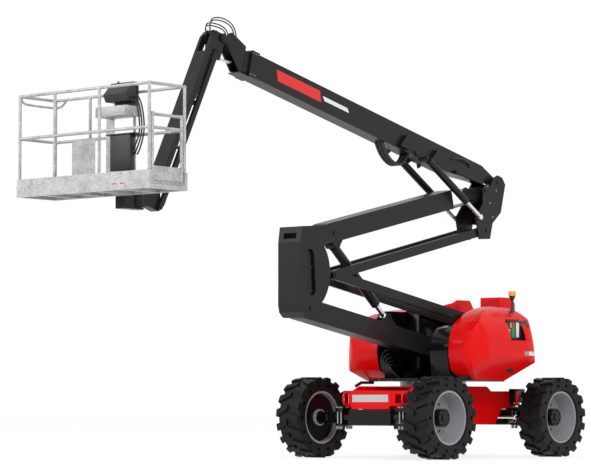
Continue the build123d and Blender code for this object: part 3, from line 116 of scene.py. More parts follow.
class Finish:
    """One material, built round a Principled shader."""

    def __init__(self, name, colour, roughness, metallic=0.0, coat=0.0, coat_roughness=0.1):
        self.material = bpy.data.materials.new(name)
        self.material.use_nodes = True
        self.tree = self.material.node_tree
        self.shader = self.tree.nodes["Principled BSDF"]
        self.set("Base Color", (*colour, 1))
        self.set("Roughness", roughness)
        self.set("Metallic", metallic)
        self.set("Coat Weight", coat)
        self.set("Coat Roughness", coat_roughness)
        self.material.diffuse_color = (*colour, 1)
        self.place = self.node("ShaderNodeTexCoord", {}, {}, "Object")

    def set(self, name, value):
        link(self.tree, value, self.shader.inputs[name])

    def node(self, kind, settings, inputs, output=0):
        return add_node(self.tree, kind, settings, inputs, output)

    def noise(self, scale, detail=4.0, roughness=0.55):
        return self.node(
            "ShaderNodeTexNoise", {},
            {"Vector": self.place, "Scale": scale, "Detail": detail, "Roughness": roughness}, "Fac")

    def cells(self, scale):
        return self.node("ShaderNodeTexVoronoi", {}, {"Vector": self.place, "Scale": scale}, "Color")

    def blend(self, amount, low, high):
        """Colour between two plain colours."""
        return self.node(
            "ShaderNodeMix", {"data_type": "RGBA"}, {"Factor": amount, 6: (*low, 1), 7: (*high, 1)}, 2)

    def bump(self, height, strength, distance):
        self.set("Normal", self.node(
            "ShaderNodeBump", {}, {"Height": height, "Strength": strength, "Distance": distance}))


# ---------------------------------------------------------------- finishes
def painted(name, colour, dusty, roughness, coat, mottle=0.5, shine=0.3):
    """Machine paint: slight orange peel, patchy gloss, a little dust in patches."""
    finish = Finish(name, colour, roughness, 0.0, coat, 0.08)
    finish.set("Specular IOR Level", shine)
    patches = finish.noise(2.3)
    orange_peel = finish.noise(55.0, 2.0)
    finish.set("Base Color", finish.blend((patches - 0.35) * mottle, colour, dusty))
    finish.set("Roughness", patches * 0.16 + (roughness - 0.08))
    finish.bump(orange_peel, 0.12, 0.0006)
    return finish.material


def tyre_rubber():
    finish = Finish("tyre rubber", (0.006, 0.006, 0.006), 0.62)
    finish.set("Specular IOR Level", 0.2)
    dirt = finish.noise(6.0)
    grain = finish.noise(140.0, 2.0)
    finish.set("Base Color", finish.blend(
        (dirt - 0.4) * 1.2, (0.004, 0.004, 0.004), (0.013, 0.013, 0.012)))
    finish.set("Roughness", dirt * 0.25 + 0.42)
    finish.bump(grain, 0.35, 0.0012)
    return finish.material


def patchy_metal(name, colour, roughness, metallic, noise_scale, noise_detail, spread, least):
    """Bare metal whose roughness runs from least to least + spread in patches."""
    finish = Finish(name, colour, roughness, metallic)
    finish.set("Roughness", finish.noise(noise_scale, noise_detail) * spread + least)
    return finish.material


def galvanised_steel():
    """Dipped zinc: grey spangles under a cloudy tone."""
    finish = Finish("galvanised steel", (0.56, 0.58, 0.60), 0.42, 0.35)
    spangle = finish.node("ShaderNodeRGBToBW", {}, {0: finish.cells(85.0)})
    cloud = finish.noise(7.0)
    tone = spangle * 0.55 + cloud * 0.75
    finish.set("Base Color", finish.blend(tone.ramp(0.35, 0.95), (0.25, 0.25, 0.25), (0.56, 0.56, 0.56)))
    finish.set("Roughness", spangle * 0.22 + 0.32)
    finish.bump(spangle, 0.15, 0.0008)
    return finish.material


def moulded(name, colour, roughness, cloud_scale, grain_scale, grain_depth):
    """Plastic or rubber with a patchy sheen and a fine grain."""
    finish = Finish(name, colour, roughness)
    finish.set("Roughness", finish.noise(cloud_scale) * 0.2 + 0.36)
    finish.bump(finish.noise(grain_scale, 2.0), 0.3, grain_depth)
    return finish.material


def engine_casting():
    finish = Finish("engine casting", (0.035, 0.035, 0.037), 0.55, 0.4)
    oily = finish.noise(9.0)
    finish.set("Base Color", finish.blend(oily, (0.018, 0.017, 0.016), (0.07, 0.07, 0.072)))
    finish.bump(finish.noise(70.0, 3.0), 0.4, 0.002)
    return finish.material


def amber_lens():
    """Ribbed amber plastic with a faint glow."""
    finish = Finish("amber lens", (0.85, 0.30, 0.02), 0.18, 0.0, 0.6)
    finish.set("Emission Color", (0.9, 0.35, 0.02, 1))
    finish.set("Emission Strength", 0.15)
    ribs = finish.node(
        "ShaderNodeTexWave", {"bands_direction": "Z"}, {"Vector": finish.place, "Scale": 38.0}, "Fac")
    finish.bump(ribs, 0.5, 0.002)
    return finish.material


def enamel(name, colour):
    """Smooth paint of a mark, label or knob."""
    return painted(name, colour, tuple(0.85 * part for part in colour), 0.35, 0.3, 0.3)


made_finishes = (
    painted("arm paint", (0.009, 0.009, 0.010), (0.020, 0.020, 0.022), 0.36, 0.06, shine=0.20),
    painted("red paint", (0.82, 0.003, 0.004), (0.62, 0.003, 0.004), 0.30, 0.12, 0.4, 0.1),
    painted("black paint", (0.004, 0.004, 0.005), (0.010, 0.010, 0.011), 0.26, 0.22, shine=0.12),
    painted("rim paint", (0.34, 0.35, 0.37), (0.22, 0.23, 0.24), 0.42, 0.1),
    tyre_rubber(),
    patchy_metal("rod chrome", (0.78, 0.79, 0.80), 0.12, 1.0, 30.0, 3.0, 0.12, 0.06),
    patchy_metal("bare steel", (0.34, 0.34, 0.35), 0.4, 0.9, 12.0, 4.0, 0.3, 0.25),
    galvanised_steel(),
    moulded("moulded plastic", (0.014, 0.014, 0.015), 0.5, 20.0, 260.0, 0.0006),
    moulded("hose rubber", (0.010, 0.010, 0.011), 0.45, 25.0, 180.0, 0.0008),
    engine_casting(),
    amber_lens(),
    enamel("white enamel", (0.78, 0.78, 0.77)),
    enamel("signal red", (0.70, 0.012, 0.010)),
    enamel("signal green", (0.02, 0.22, 0.05)),
    enamel("signal yellow", (0.75, 0.50, 0.02)),
    enamel("pale plate", (0.55, 0.55, 0.56)))
finishes = {material.name: material for material in made_finishes}

SLOT_FINISH = {
    "red_paint": "red paint", "grey_paint": "arm paint", "black_paint": "black paint",
    "rim_paint": "rim paint", "tyre": "tyre rubber", "chrome": "rod chrome", "steel": "bare steel",
    "galvanised": "galvanised steel", "black_plastic": "moulded plastic", "amber": "amber lens",
    "engine_metal": "engine casting"}
CREASE = 30        # degrees past which an edge of a small smooth piece stays sharp

node_slot = {entry["node"]: entry["material_slot"] for entry in frame["record"]["subparts"]}
node_body = {
    node: body for body, nodes in frame["record"]["behaviour"]["bodies"].items() for node in nodes}
for node, thing in frame["nodes"].items():
    for slot in thing.material_slots:
        slot.link = "OBJECT"
        slot.material = finishes[SLOT_FINISH[node_slot[node]]]


# ---------------------------------------------------------------- making pieces
def box_of(node):
    low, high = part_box(node)
    return Vector(low), Vector(high)


def add_object(name, data):
    thing = bpy.data.objects.new(name, data)
    bpy.context.scene.collection.objects.link(thing)
    return thing


def smooth_shade(mesh, crease):
    """Shade a mesh smooth up to an angle in degrees."""
    mesh.shade_smooth()
    mesh.set_sharp_from_angle(angle=radians(crease))


def new_piece(name, shape, finish, body, crease=None):
    """Turn a finished bmesh into an object that rides on a body."""
    bmesh.ops.recalc_face_normals(shape, faces=shape.faces)
    mesh = bpy.data.meshes.new(name)
    shape.to_mesh(mesh)
    shape.free()
    thing = add_object(name, mesh)
    mesh.materials.append(finishes[finish])
    if crease:
        smooth_shade(mesh, crease)
    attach(thing, body)
    return thing


def add_block(shape, low, high, bevel=0.0):
    """Box between two corners, with rounded edges."""
    low = Vector(low)
    high = Vector(high)
    verts = bmesh.ops.create_cube(shape, size=1.0)["verts"]
    bmesh.ops.scale(shape, vec=high - low, verts=verts)
    bmesh.ops.translate(shape, vec=(low + high) / 2, verts=verts)
    if bevel:
        edges = list({edge for vert in verts for edge in vert.link_edges})
        bmesh.ops.bevel(
            shape, geom=edges, offset=bevel, segments=2, profile=0.5, affect="EDGES", material=-1)


def block_piece(name, low, high, finish, body, bevel=0.0, crease=None):
    """A piece that is one block."""
    shape = bmesh.new()
    add_block(shape, low, high, bevel)
    new_piece(name, shape, finish, body, crease)


def turned_to(direction):
    """Turn that lays the Z axis along a direction."""
    return Vector((0, 0, 1)).rotation_difference(Vector(direction)).to_matrix().to_4x4()


def add_drum(shape, place, along, radius, length, sides=24, top=None):
    """Cylinder or cone centred on a place, its axis along a direction."""
    bmesh.ops.create_cone(
        shape, cap_ends=True, segments=sides, radius1=radius, radius2=radius if top is None else top,
        depth=length, matrix=Matrix.Translation(Vector(place)) @ turned_to(along))


def on_circle(centre, y, radius, index, count):
    """Place of one of a ring of bolts about a crosswise axis."""
    turn = 2 * pi * index / count
    return Vector((centre.x + radius * cos(turn), y, centre.z + radius * sin(turn)))


def pipe(name, points, radius, finish, body, far_body=None, smooth=True):
    """Hose or pipe on a smooth line led by a few points; where it crosses to a far body it is made a plain mesh
    that rides on no body.
    """
    curve = bpy.data.curves.new(name, "CURVE")
    curve.dimensions = "3D"
    curve.bevel_depth = radius
    curve.bevel_resolution = 3
    curve.use_fill_caps = True
    curve.resolution_u = 8
    spline = curve.splines.new("NURBS" if smooth else "POLY")
    spline.points.add(len(points) - 1)
    for point, spot in zip(spline.points, points):
        point.co = (*spot, 1)
    if smooth:
        spline.order_u = 4
        spline.use_endpoint_u = True
    thing = add_object(name, curve)
    curve.materials.append(finishes[finish])
    if not far_body:
        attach(thing, body)
        return
    solid = bpy.data.meshes.new_from_object(thing.evaluated_get(bpy.context.evaluated_depsgraph_get()))
    bpy.data.objects.remove(thing)
    solid.name = name
    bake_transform(add_object(name, solid))


# ---------------------------------------------------------------- surfaces to lay fittings on
skins = {}


def skin_of(node):
    """Surface of a CAD node, or of the rounded copy that stands for it."""
    if node not in skins:
        source = frame["nodes"][node]
        skins[node] = BVHTree.FromPolygons(
            [source.matrix_world @ vert.co for vert in source.data.vertices],
            [face.vertices for face in source.data.polygons])
    return skins[node]


def hit(node, start, direction):
    """Point and outward normal where a ray meets a node's surface."""
    spot, normal = skin_of(node).ray_cast(Vector(start), Vector(direction))[:2]
    return spot, (normal if normal.dot(Vector(direction)) < 0 else -normal)


def settle_faces(shape):
    """Sort faces by their lowest and highest corner, because solidify orders them anew each run."""
    shape.verts.index_update()
    count = len(shape.verts)

    def rank(face):
        corners = [vert.index for vert in face.verts]
        return min(corners) * count + max(corners)

    shape.faces.sort(key=rank)


def add_patch(shape, node, start, width, height, lift):
    """Thin plate laid on the side of a node, following its surface; it is alone in its bmesh."""
    plate_thickness = 0.0015
    made = bmesh.ops.create_grid(
        shape, x_segments=6, y_segments=3, size=0.5,
        matrix=Matrix.Translation(Vector(start)) @ Matrix.Rotation(pi / 2, 4, "X")
        @ Matrix.Diagonal((width, height, 1, 1)))
    sense = -1 if start[1] > 0 else 1
    for vert in made["verts"]:
        spot, normal = hit(node, vert.co, (0, sense, 0))
        vert.co = spot + normal * lift
    bmesh.ops.solidify(shape, geom=shape.faces[:], thickness=plate_thickness * sense)
    settle_faces(shape)


def add_oval(shape, node, start, direction, width, height, thick):
    """Flat oval on a node's surface."""
    spot, normal = hit(node, start, direction)
    bmesh.ops.create_cone(
        shape, cap_ends=True, segments=28, radius1=0.5, radius2=0.5, depth=thick,
        matrix=Matrix.Translation(spot) @ turned_to(normal) @ Matrix.Diagonal((width, height, 1, 1)))


# ---------------------------------------------------------------- rounded shells
def divide_for_form(shape):
    """Cut long edges three times over, so that a form can bend what was flat."""
    longest = 0.12
    for _ in range(3):
        long_edges = [edge for edge in shape.edges if edge.calc_length() > longest]
        bmesh.ops.subdivide_edges(shape, edges=long_edges, cuts=1, use_grid_fill=True)
    bmesh.ops.triangulate(shape, faces=[face for face in shape.faces if len(face.verts) > 4])


def rounded_copy(node, width, form, crease):
    """Copy of a CAD node, reshaped by a form and with its hard edges rounded, standing for it."""
    name = node + "_rounded"
    shape = bmesh.new()
    shape.from_mesh(frame["nodes"][node].data)
    bmesh.ops.remove_doubles(shape, verts=shape.verts, dist=0.0002)
    bmesh.ops.dissolve_limit(
        shape, angle_limit=radians(1.5), verts=shape.verts, edges=shape.edges, delimit={"NORMAL"})
    if form:
        divide_for_form(shape)
        for vert in shape.verts:
            vert.co = form(vert.co)
    mesh = bpy.data.meshes.new(name)
    shape.to_mesh(mesh)
    shape.free()
    thing = add_object(name, mesh)
    mesh.materials.append(finishes[SLOT_FINISH[node_slot[node]]])
    edge = thing.modifiers.new("edges", "BEVEL")
    edge.width = width
    edge.segments = 3
    edge.limit_method = "ANGLE"
    edge.angle_limit = radians(crease - 10)
    smooth_shade(mesh, crease)
    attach(thing, node_body[node])
    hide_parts(node)
    skins[node] = BVHTree.FromPolygons(
        [vert.co for vert in mesh.vertices], [face.vertices for face in mesh.polygons])


def rise(value, low, high):
    """Smooth 0 to 1 between two values."""
    part = min(max((value - low) / (high - low), 0.0), 1.0)
    return part * part * (3 - 2 * part)


def hood_form(spot, front_keep):
    """Round off a hood: front drawn back, upper rear corner leaning forward and inward."""
    middle = -2.45
    crease = 1.27
    crown = 1.917
    forward = 0.16
    inward = 0.08
    if spot.x > middle:
        spot.x = middle + (spot.x - middle) * front_keep
    lean = rise(spot.z, crease, crown + 0.25)
    spot.x += forward * lean * rise(-spot.x, 2.6, 3.226)
    side = 1 if spot.y > 0 else -1
    spot.y -= side * inward * lean * rise(abs(spot.y), 0.65, 1.075)
    return spot


def left_hood_form(spot):
    return hood_form(spot, 0.74)


def right_hood_form(spot):
    return hood_form(spot, 0.88)


def counterweight_form(spot):
    """Lean the top of the counterweight forward over the deck and square its shoulders."""
    front = -3.263
    thickness = 0.398
    forward = 0.20
    shoulder = 0.50
    widening = 1.45
    depth = min(max((front - spot.x) / thickness, 0.0), 1.0)
    rear_lean = rise(spot.z, 1.2, 1.95)
    front_lean = rise(spot.z, 1.80, 1.86)
    spot.x += forward * (depth * rear_lean + (1 - depth) * front_lean)
    if spot.z > 1.9 and abs(spot.y) > 0.3:
        spot.y = (1 if spot.y > 0 else -1) * min(widening * abs(spot.y), shoulder)
    return spot


def cabinet_form(spot):
    """Draw the valve cabinet back beside the left hood."""
    rear = -2.151
    outside = 0.59
    return Vector((rear + (spot.x - rear) * 0.62, outside - (outside - spot.y) * 0.78, spot.z))


# node, width of its rounded edges, form, crease in degrees
for node, width, form, crease in (
        ("hood_left", 0.012, left_hood_form, 52), ("hood_right", 0.012, right_hood_form, 52),
        ("cover_front", 0.02, None, 35), ("cover_rear", 0.02, None, 35),
        ("counterweight", 0.03, counterweight_form, 35), ("valve_cabinet", 0.03, cabinet_form, 35),
        ("fuel_tank", 0.02, None, 35)):
    rounded_copy(node, width, form, crease)

# ---------------------------------------------------------------- places on the machine
boom_turn = radians(12.9)
boom_along = Vector((cos(boom_turn), 0, sin(boom_turn)))
boom_up = Vector((-sin(boom_turn), 0, cos(boom_turn)))
nose = pins["jib_bracket_turn"]
jib_top = pins["jib_lift"]
boom_foot = pins["boom_lift"]
rear = box_of("guard_rails")[0].x
front = box_of("guard_rails")[1].x
toe_front = box_of("toe_boards")[1].x
console_low, console_high = box_of("platform_console")
panel_high = box_of("ground_controls")[1]
cover_front = box_of("cover_front")[1].x
ACROSS = (0, 1, 0)
UP = (0, 0, 1)


def along_boom(distance, height, y):
    """Place so far along the boom from its foot pin, so high over the pin's line."""
    return boom_foot + boom_along * distance + boom_up * height + Vector((0, y, 0))


# ---------------------------------------------------------------- plain stripes on the boom
stripe_slant = 0.05
stripe_thickness = 0.002
# name, finish, from and to along the boom, lower and upper edge over the pin's line
for name, finish, start, end, low, high in (
        ("boom_red_stripe", "signal red", 3.62, 4.44, -0.050, 0.080),
        ("boom_white_stripe", "white enamel", 3.08, 3.56, -0.015, 0.035)):
    middle = (start + end) / 2
    centre = (low + high) / 2
    shape = bmesh.new()
    for hand in (1, -1):
        side_face, _ = hit("boom", along_boom(middle, centre, hand), (0, -hand, 0))
        for vert in bmesh.ops.create_cube(shape, size=1.0)["verts"]:
            distance = middle + vert.co.x * (end - start) + vert.co.z * stripe_slant
            height = centre + vert.co.z * (high - low)
            vert.co = along_boom(distance, height, side_face.y + vert.co.y * stripe_thickness)
    new_piece(name, shape, finish, "boom")


# ---------------------------------------------------------------- hoses
def nose_hose(index, y):
    """One of the hoses that arch over the boom's nose to the jib."""
    peak = 0.225 - 0.030 * index
    reach = 0.02 * index
    start = nose + Vector((-0.24 + reach, y, 0.02))
    end = jib_top + Vector((0.060 - 0.6 * reach, y, 0.012))
    pipe(
        "nose_hose_%d" % (index + 1),
        [start, start + Vector((0.01, 0, 0.5 * peak)), nose + Vector((-0.12, y, peak)),
         jib_top + Vector((-0.02, y, peak - 0.02)), end + Vector((0.025, 0, 0.6 * peak)), end],
        0.0075, "hose rubber", "fly_boom", "jib_bracket")


def boom_hose_loop(index):
    """One of the hoses that hang in a loop under the boom, both ends at its underside."""
    y = -0.06 + 0.05 * index
    pipe(
        "boom_hose_loop_%d" % (index + 1),
        [along_boom(2.30, -0.13, y), along_boom(2.22, -0.24, y), along_boom(2.05, -0.34, y),
         along_boom(1.86, -0.33, y), along_boom(1.78, -0.22, y), along_boom(1.76, -0.13, y)],
        0.020, "hose rubber", "boom")


def deck_hose(index):
    """One of the hoses that drop to the deck in the middle of the turret."""
    y = -0.41 + 0.035 * index
    pipe(
        "deck_hose_%d" % (index + 1),
        [(-1.88, y, 1.36 - 0.05 * index), (-1.76, y + 0.01, 1.34 - 0.04 * index), (-1.70, y + 0.03, 1.15),
         (-1.74, y + 0.07, 1.06), (-1.82, y + 0.10, 1.01)],
        0.013, "hose rubber", "turret")


def boom_foot_hose():
    """Short hose on the side of the boom's foot."""
    side_y = 0.104
    pipe(
        "boom_foot_hose_1",
        [along_boom(0.55, 0.05, side_y), along_boom(0.62, 0.12, side_y + 0.04),
         along_boom(0.80, 0.10, side_y + 0.05), along_boom(0.95, 0.04, side_y)],
        0.011, "hose rubber", "boom")


for index, y in enumerate((0.052, 0.038, -0.038, -0.052)):
    nose_hose(index, y)
for index in range(3):
    boom_hose_loop(index)
for index in range(5):
    deck_hose(index)
boom_foot_hose()

# ---------------------------------------------------------------- boom and riser fittings
for end, distance in (("front", 1.94), ("rear", 1.30)):
    shape = bmesh.new()
    for hand in (1, -1):
        bmesh.ops.create_cone(
            shape, cap_ends=True, segments=3, radius1=0.125, radius2=0.105, depth=0.05,
            matrix=Matrix.Translation(along_boom(distance, -0.06, hand * 0.125))
            @ Matrix.Rotation(-boom_turn, 4, "Y") @ Matrix.Rotation(hand * pi / 2, 4, "X"))
    new_piece("boom_gusset_" + end, shape, "arm paint", "boom")
shape = bmesh.new()
for hand in (1, -1):
    for distance in (4.84, 4.88, 4.92):
        for height in (-0.13, 0.13):
            add_drum(shape, along_boom(distance, height, hand * 0.118), ACROSS, 0.009, 0.012, 6)
new_piece("collar_bolts", shape, "bare steel", "boom", CREASE)
shape = bmesh.new()
for hand in (1, -1):
    for x, z in ((-3.44, 3.47), (-3.30, 3.30), (-3.36, 3.12), (-3.28, 3.52)):
        plate, _ = hit("riser", (x, hand, z), (0, -hand, 0))
        add_drum(shape, plate, ACROSS, 0.013, 0.016, 6)
new_piece("riser_bolts", shape, "bare steel", "riser", CREASE)

# ---------------------------------------------------------------- tower and middle of the turret
sheet = 0.006
shape = bmesh.new()
for y in (0.141, -0.147):
    add_block(shape, (0.19, y, 1.93), (0.43, y + sheet, 2.56))
new_piece("tower_liner", shape, "black paint", "tower")
# name, low corner, high corner, rounded edge, crease
for name, low, high, bevel, crease in (
        ("right_bulkhead", (-3.12, -0.436, 1.00), (-1.86, -0.436 + sheet, 1.86), 0.0, None),
        ("left_bulkhead", (-3.05, 0.598, 1.00), (-1.95, 0.598 + sheet, 1.80), 0.0, None),
        ("oil_tank_cover", (-3.02, -0.415, 1.00), (-2.30, -0.21, 1.925), 0.03, CREASE)):
    block_piece(name, low, high, "black paint", "turret", bevel, crease)
pipe("exhaust_pipe", [(-2.10, -0.82, 0.950), (-1.86, -0.82, 0.950), (-1.76, -0.83, 0.905)], 0.020,
     "moulded plastic", "turret", smooth=False)

# ---------------------------------------------------------------- ground controls
panel_y = panel_high.y
face_y = panel_y + 0.036
block_piece("control_face", (-2.93, panel_y - 0.01, 1.485), (panel_high.x - 0.004, panel_y + 0.035, 1.733),
            "moulded plastic", "turret", 0.008, CREASE)
# name, finish, front and rear edge, lower and upper edge
for name, finish, ahead, behind, low, high in (
        ("control_green_field", "signal green", -2.650, -2.715, 1.515, 1.665),
        ("control_label", "white enamel", -2.745, -2.805, 1.520, 1.705),
        ("control_yellow_field", "signal yellow", -2.618, -2.648, 1.640, 1.700)):
    block_piece(name, (behind, face_y - 0.001, low), (ahead, face_y + 0.001, high), finish, "turret")
shape = bmesh.new()
for index in range(3):
    add_drum(shape, (-2.598, face_y + 0.004, 1.525 + 0.040 * index), ACROSS, 0.014, 0.010, 16)
new_piece("control_switches", shape, "white enamel", "turret", CREASE)
shape = bmesh.new()
add_drum(shape, (-2.668, face_y + 0.010, 1.680), ACROSS, 0.021, 0.022, 20)
new_piece("stop_button", shape, "signal red", "turret", CREASE)

# ---------------------------------------------------------------- hood fittings
band_z = 1.315
band_height = 0.052
for node, side_y in (("hood_left", 1.5), ("hood_right", -1.5)):
    body = node_body[node]
    inward = (0, -side_y, 0)
    shape = bmesh.new()
    # Painted shade: flat black ovals stand in for the shaded insides of the hood's vent holes.
    add_oval(shape, node, (-2.97, side_y, 1.69), inward, 0.07, 0.12, 0.006)
    add_oval(shape, node, (-2.66, side_y, 1.10), inward, 0.15, 0.07, 0.006)
    new_piece(node + "_vents", shape, "moulded plastic", body, CREASE)
    # name, finish, middle, length, lift off the hood
    for band, finish, x, width, lift in (
            ("_white_band", "white enamel", -3.00, 0.17, 0.0012),
            ("_grey_band", "rim paint", -2.865, 0.09, 0.0010)):
        shape = bmesh.new()
        add_patch(shape, node, (x, side_y, band_z), width, band_height, lift)
        new_piece(node + band, shape, finish, body, CREASE)

# ---------------------------------------------------------------- beacon
beacon_low, beacon_high = box_of("beacon")
beacon_body = node_body["beacon"]
stem = (beacon_low + beacon_high) / 2


def below_beacon_top(drop):
    return Vector((stem.x, stem.y, beacon_high.z - drop))


shape = bmesh.new()
add_drum(shape, below_beacon_top(0.032), UP, 0.050, 0.058, 28, 0.046)
lens = new_piece("beacon_lens", shape, "amber lens", beacon_body, CREASE)
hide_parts("beacon")
shape = bmesh.new()
add_drum(shape, below_beacon_top(0.092), UP, 0.017, 0.064, 20, 0.044)
add_drum(shape, below_beacon_top(0.20), UP, 0.014, 0.16, 16)
add_drum(shape, below_beacon_top(0.245), UP, 0.034, 0.05, 20, 0.024)
new_piece("beacon_stem", shape, "moulded plastic", beacon_body, CREASE)

# ---------------------------------------------------------------- chassis fittings
block_piece("front_plate", (cover_front - 0.001, -0.285, 0.700), (cover_front + 0.003, 0.285, 0.790),
            "pale plate", "chassis", 0.001)
for hand, y in (("left", 0.47), ("right", -0.47)):
    x = cover_front - 0.075
    pipe("tie_down_" + hand,
         [(x, y, 0.66), (x + 0.03, y, 0.69), (x + 0.035, y, 0.74), (x + 0.03, y, 0.79), (x, y, 0.82)],
         0.013, "signal red", "chassis")
shape = bmesh.new()
for y in (0.442, -0.527):
    add_block(shape, (-3.578, y, 0.69), (-3.33, y + 0.085, 0.872), 0.008)
new_piece("rear_valve_boxes", shape, "black paint", "chassis", CREASE)


def axle_bolts(end, axle_x):
    """Four through bolts at each side of an axle, with their nuts."""
    shape = bmesh.new()
    for step in (-0.095, 0.095):
        for y in (0.468, 0.522, -0.468, -0.522):
            add_drum(shape, (axle_x + step, y, 0.503), UP, 0.0125, 0.248, 12)
            for z in (0.372, 0.390, 0.634):
                add_drum(shape, (axle_x + step, y, z), UP, 0.022, 0.016, 6)
    new_piece("axle_bolts_" + end, shape, "bare steel", "chassis", CREASE)


def axle_pads(end, axle_x):
    """Clamp pads that the bolts hold, above and below the axle."""
    inward = -0.03 if axle_x > pins["slew"].x else 0.03
    shape = bmesh.new()
    # distance from the middle, low corner from the axle, height of the underside, size
    for side_y, low_x, half_width, low_z, size in (
            (0.48, inward - 0.1565, 0.0595, 0.5825, (0.313, 0.119, 0.0449)),
            (0.49, -0.1165, 0.0515, 0.4035, (0.233, 0.103, 0.0295))):
        for y in (side_y, -side_y):
            low = Vector((axle_x + low_x, y - half_width, low_z))
            add_block(shape, low, low + Vector(size), 0.002)
    new_piece("axle_pads_" + end, shape, "black paint", "chassis", CREASE)


for end in ("front", "rear"):
    axle_x = pins["wheel_%s_left" % end].x
    axle_bolts(end, axle_x)
    axle_pads(end, axle_x)


# ---------------------------------------------------------------- wheels
def dress_wheel(end, hand, sense):
    """Wheel nuts, black discs that paint the shade inside the rim, and hub cap of one wheel."""
    place = "%s_%s" % (end, hand)
    wheel = "wheel_" + place
    rim = "rim_" + place
    centre = pins[wheel]
    rim_low, rim_high = box_of(rim)
    outside_y = rim_high.y if sense > 0 else rim_low.y
    far = Vector((centre.x, outside_y + sense * 0.3, centre.z))
    outward = (0, sense, 0)
    inward = (0, -sense, 0)
    inner_y = 0.7 * sense

    nut_circle = 0.165
    nut_count = 10
    cap_circle = 0.088
    cap_bolt_count = 8
    hub, _ = hit(rim, far, inward)
    disc, _ = hit(rim, far + Vector((nut_circle, 0, 0)), inward)
    shape = bmesh.new()
    for index in range(nut_count):
        spot = on_circle(centre, disc.y + sense * 0.010, nut_circle, index, nut_count)
        add_drum(shape, spot, ACROSS, 0.016, 0.03, 6)
    new_piece("wheel_nuts_" + place, shape, "moulded plastic", wheel, CREASE)

    # Painted shade: black discs on the rim's inner face and on the hub boss darken the inside of the rim, which
    # lies in shade.
    back, _ = hit(rim, (centre.x + 0.2, inner_y, centre.z), outward)
    boss, _ = hit(rim, (centre.x + 0.065, inner_y, centre.z), outward)
    shape = bmesh.new()
    add_drum(shape, (centre.x, back.y - sense * 0.004, centre.z), ACROSS, 0.30, 0.006, 48)
    add_drum(shape, (centre.x, boss.y - sense * 0.003, centre.z), ACROSS, 0.086, 0.008, 32)
    new_piece("brake_shield_" + place, shape, "black paint", wheel, CREASE)

    shape = bmesh.new()
    add_drum(shape, (centre.x, hub.y - sense * 0.035, centre.z), ACROSS, 0.112, 0.09, 32)
    for index in range(cap_bolt_count):
        spot = on_circle(centre, hub.y + sense * 0.012, cap_circle, index + 0.5, cap_bolt_count)
        add_drum(shape, spot, ACROSS, 0.010, 0.014, 6)
    add_drum(shape, (centre.x, hub.y + sense * 0.014, centre.z), ACROSS, 0.045, 0.016, 24)
    new_piece("hub_cap_" + place, shape, "black paint", wheel, CREASE)


for end in ("front", "rear"):
    for hand, sense in (("left", 1), ("right", -1)):
        dress_wheel(end, hand, sense)

# ---------------------------------------------------------------- basket fittings
plate_back = rear + 0.036
block_piece("basket_panel", (plate_back, -0.72, 3.20), (rear + 0.039, -0.35, 3.645),
            "galvanised steel", "platform")
block_piece("console_bracket", (plate_back, -0.175, 3.24), (rear + 0.040, -0.045, 3.90),
            "galvanised steel", "platform")
shape = bmesh.new()
add_block(shape, (rear + 0.038, -0.04, 3.26), (rear + 0.118, 0.28, 3.66), 0.012)
add_block(shape, (plate_back, -0.10, 3.660), (rear + 0.125, 0.33, 3.675), 0.004)
new_piece("document_box", shape, "moulded plastic", "platform", CREASE)
block_piece("console_tray", (console_low.x - 0.005, -0.11, 3.850), (console_high.x + 0.03, 0.36, 3.965),
            "galvanised steel", "platform", 0.006, CREASE)
shape = bmesh.new()
for y in (0.04, 0.15, 0.26):
    add_drum(shape, (console_high.x - 0.045, y, 4.10), (1, 0, 0.6), 0.017, 0.07, 16, 0.022)
new_piece("console_levers", shape, "hose rubber", "platform", CREASE)
shape = bmesh.new()
add_drum(shape, (console_low.x + 0.09, 0.10, 4.247), UP, 0.014, 0.018, 20)
new_piece("console_stop", shape, "signal red", "platform", CREASE)
rail_y = -1.005
pipe("end_rail",
     [(front - 0.03, rail_y, 4.125), (front - 0.04, rail_y, 4.06), (front - 0.10, rail_y, 4.045),
      (rear + 0.10, rail_y, 4.045), (rear + 0.03, -0.99, 4.045), (rear + 0.02, -0.90, 4.05),
      (rear + 0.02, -0.84, 4.12)], 0.013, "galvanised steel", "platform")
for index in range(3):
    y = 0.34 + 0.035 * index
    pipe("console_hose_%d" % (index + 1),
         [(rear + 0.10, y - 0.04, 4.08), (rear + 0.14, y + 0.06, 4.02), (rear + 0.12, y + 0.09, 3.80),
          (rear + 0.05, y + 0.02, 3.62), (rear + 0.08, y - 0.05, 3.50 - 0.04 * index),
          (rear + 0.04, y - 0.10, 3.44)], 0.009, "hose rubber", "platform")
shape = bmesh.new()
for y in (0.47, 0.59):
    add_block(shape, (toe_front - 0.001, y, 3.052), (toe_front + 0.0015, y + 0.07, 3.066))
new_piece("toe_reflectors", shape, "signal red", "platform")


# ---------------------------------------------------------------- floor, light and camera
def background_rays(tree):
    """1 for rays that should see the white background, 0 for rays that light the machine."""
    path = tree.nodes.new("ShaderNodeLightPath")
    camera_ray, glossy_ray, transmission_ray = (
        Signal(tree, path.outputs["Is %s Ray" % kind]) for kind in ("Camera", "Glossy", "Transmission"))
    return camera_ray.either(glossy_ray).either(transmission_ray)


def show_background(tree, surface, white, share, target):
    """Mix a white background over a surface for the rays that should see it."""
    choice = add_node(
        tree, "ShaderNodeMixShader", {}, {"Fac": background_rays(tree) * share, 1: surface, 2: white})
    link(tree, choice, target)


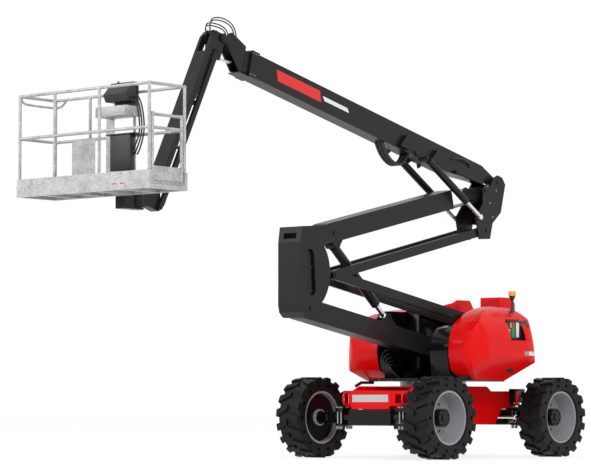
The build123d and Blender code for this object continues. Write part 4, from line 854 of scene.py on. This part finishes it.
def lamp(name, place, target, size, power):
    light = bpy.data.lights.new(name, "AREA")
    light.size = size
    light.energy = power
    thing = add_object(name, light)
    thing.location = place
    thing.rotation_euler = (Vector(target) - Vector(place)).to_track_quat("-Z", "Y").to_euler()


ground = bmesh.new()
bmesh.ops.create_grid(ground, x_segments=1, y_segments=1, size=80.0)
floor_mesh = bpy.data.meshes.new("studio_floor")
ground.to_mesh(floor_mesh)
ground.free()
floor = add_object("studio_floor", floor_mesh)
floor_finish = Finish("pale floor", (0.86, 0.86, 0.86), 0.6)
floor_mesh.materials.append(floor_finish.material)
floor_tree = floor_finish.tree
floor_white_share = 0.62
glow = floor_finish.node("ShaderNodeEmission", {}, {"Strength": 1.2}, "Emission")
show_background(
    floor_tree, Signal(floor_tree, floor_finish.shader.outputs["BSDF"]), glow, floor_white_share,
    floor_tree.nodes["Material Output"].inputs["Surface"])

world = bpy.data.worlds.new("studio")
bpy.context.scene.world = world
world.use_nodes = True
world_tree = world.node_tree
sky = world_tree.nodes["Background"]
sky.inputs["Color"].default_value = (1, 1, 1, 1)
sky.inputs["Strength"].default_value = 0.65
backdrop = add_node(world_tree, "ShaderNodeBackground", {}, {"Color": (1, 1, 1, 1)}, "Background")
show_background(
    world_tree, Signal(world_tree, sky.outputs["Background"]), backdrop, 1.0,
    world_tree.nodes["World Output"].inputs["Surface"])

machine_middle = (0, 0, 2.0)
lamp("key_lamp", (9, 14, 12), machine_middle, 7.0, 1500)
lamp("fill_lamp", (12, -6, 8), machine_middle, 8.0, 600)

camera_data = bpy.data.cameras.new("camera")
camera_data.sensor_width = 36
camera_data.lens = 156.35
camera_data.clip_end = 300
camera = add_object("camera", camera_data)
camera.location = (23.709, 20.14, 0.67)
heading = radians(40.81)
tilt = radians(3.8)
sight = Vector((-cos(heading) * cos(tilt), -sin(heading) * cos(tilt), sin(tilt)))
camera.rotation_euler = sight.to_track_quat("-Z", "Y").to_euler()
bpy.context.scene.camera = camera
bpy.context.scene.view_settings.view_transform = "Standard"

bpy.context.view_layer.update()
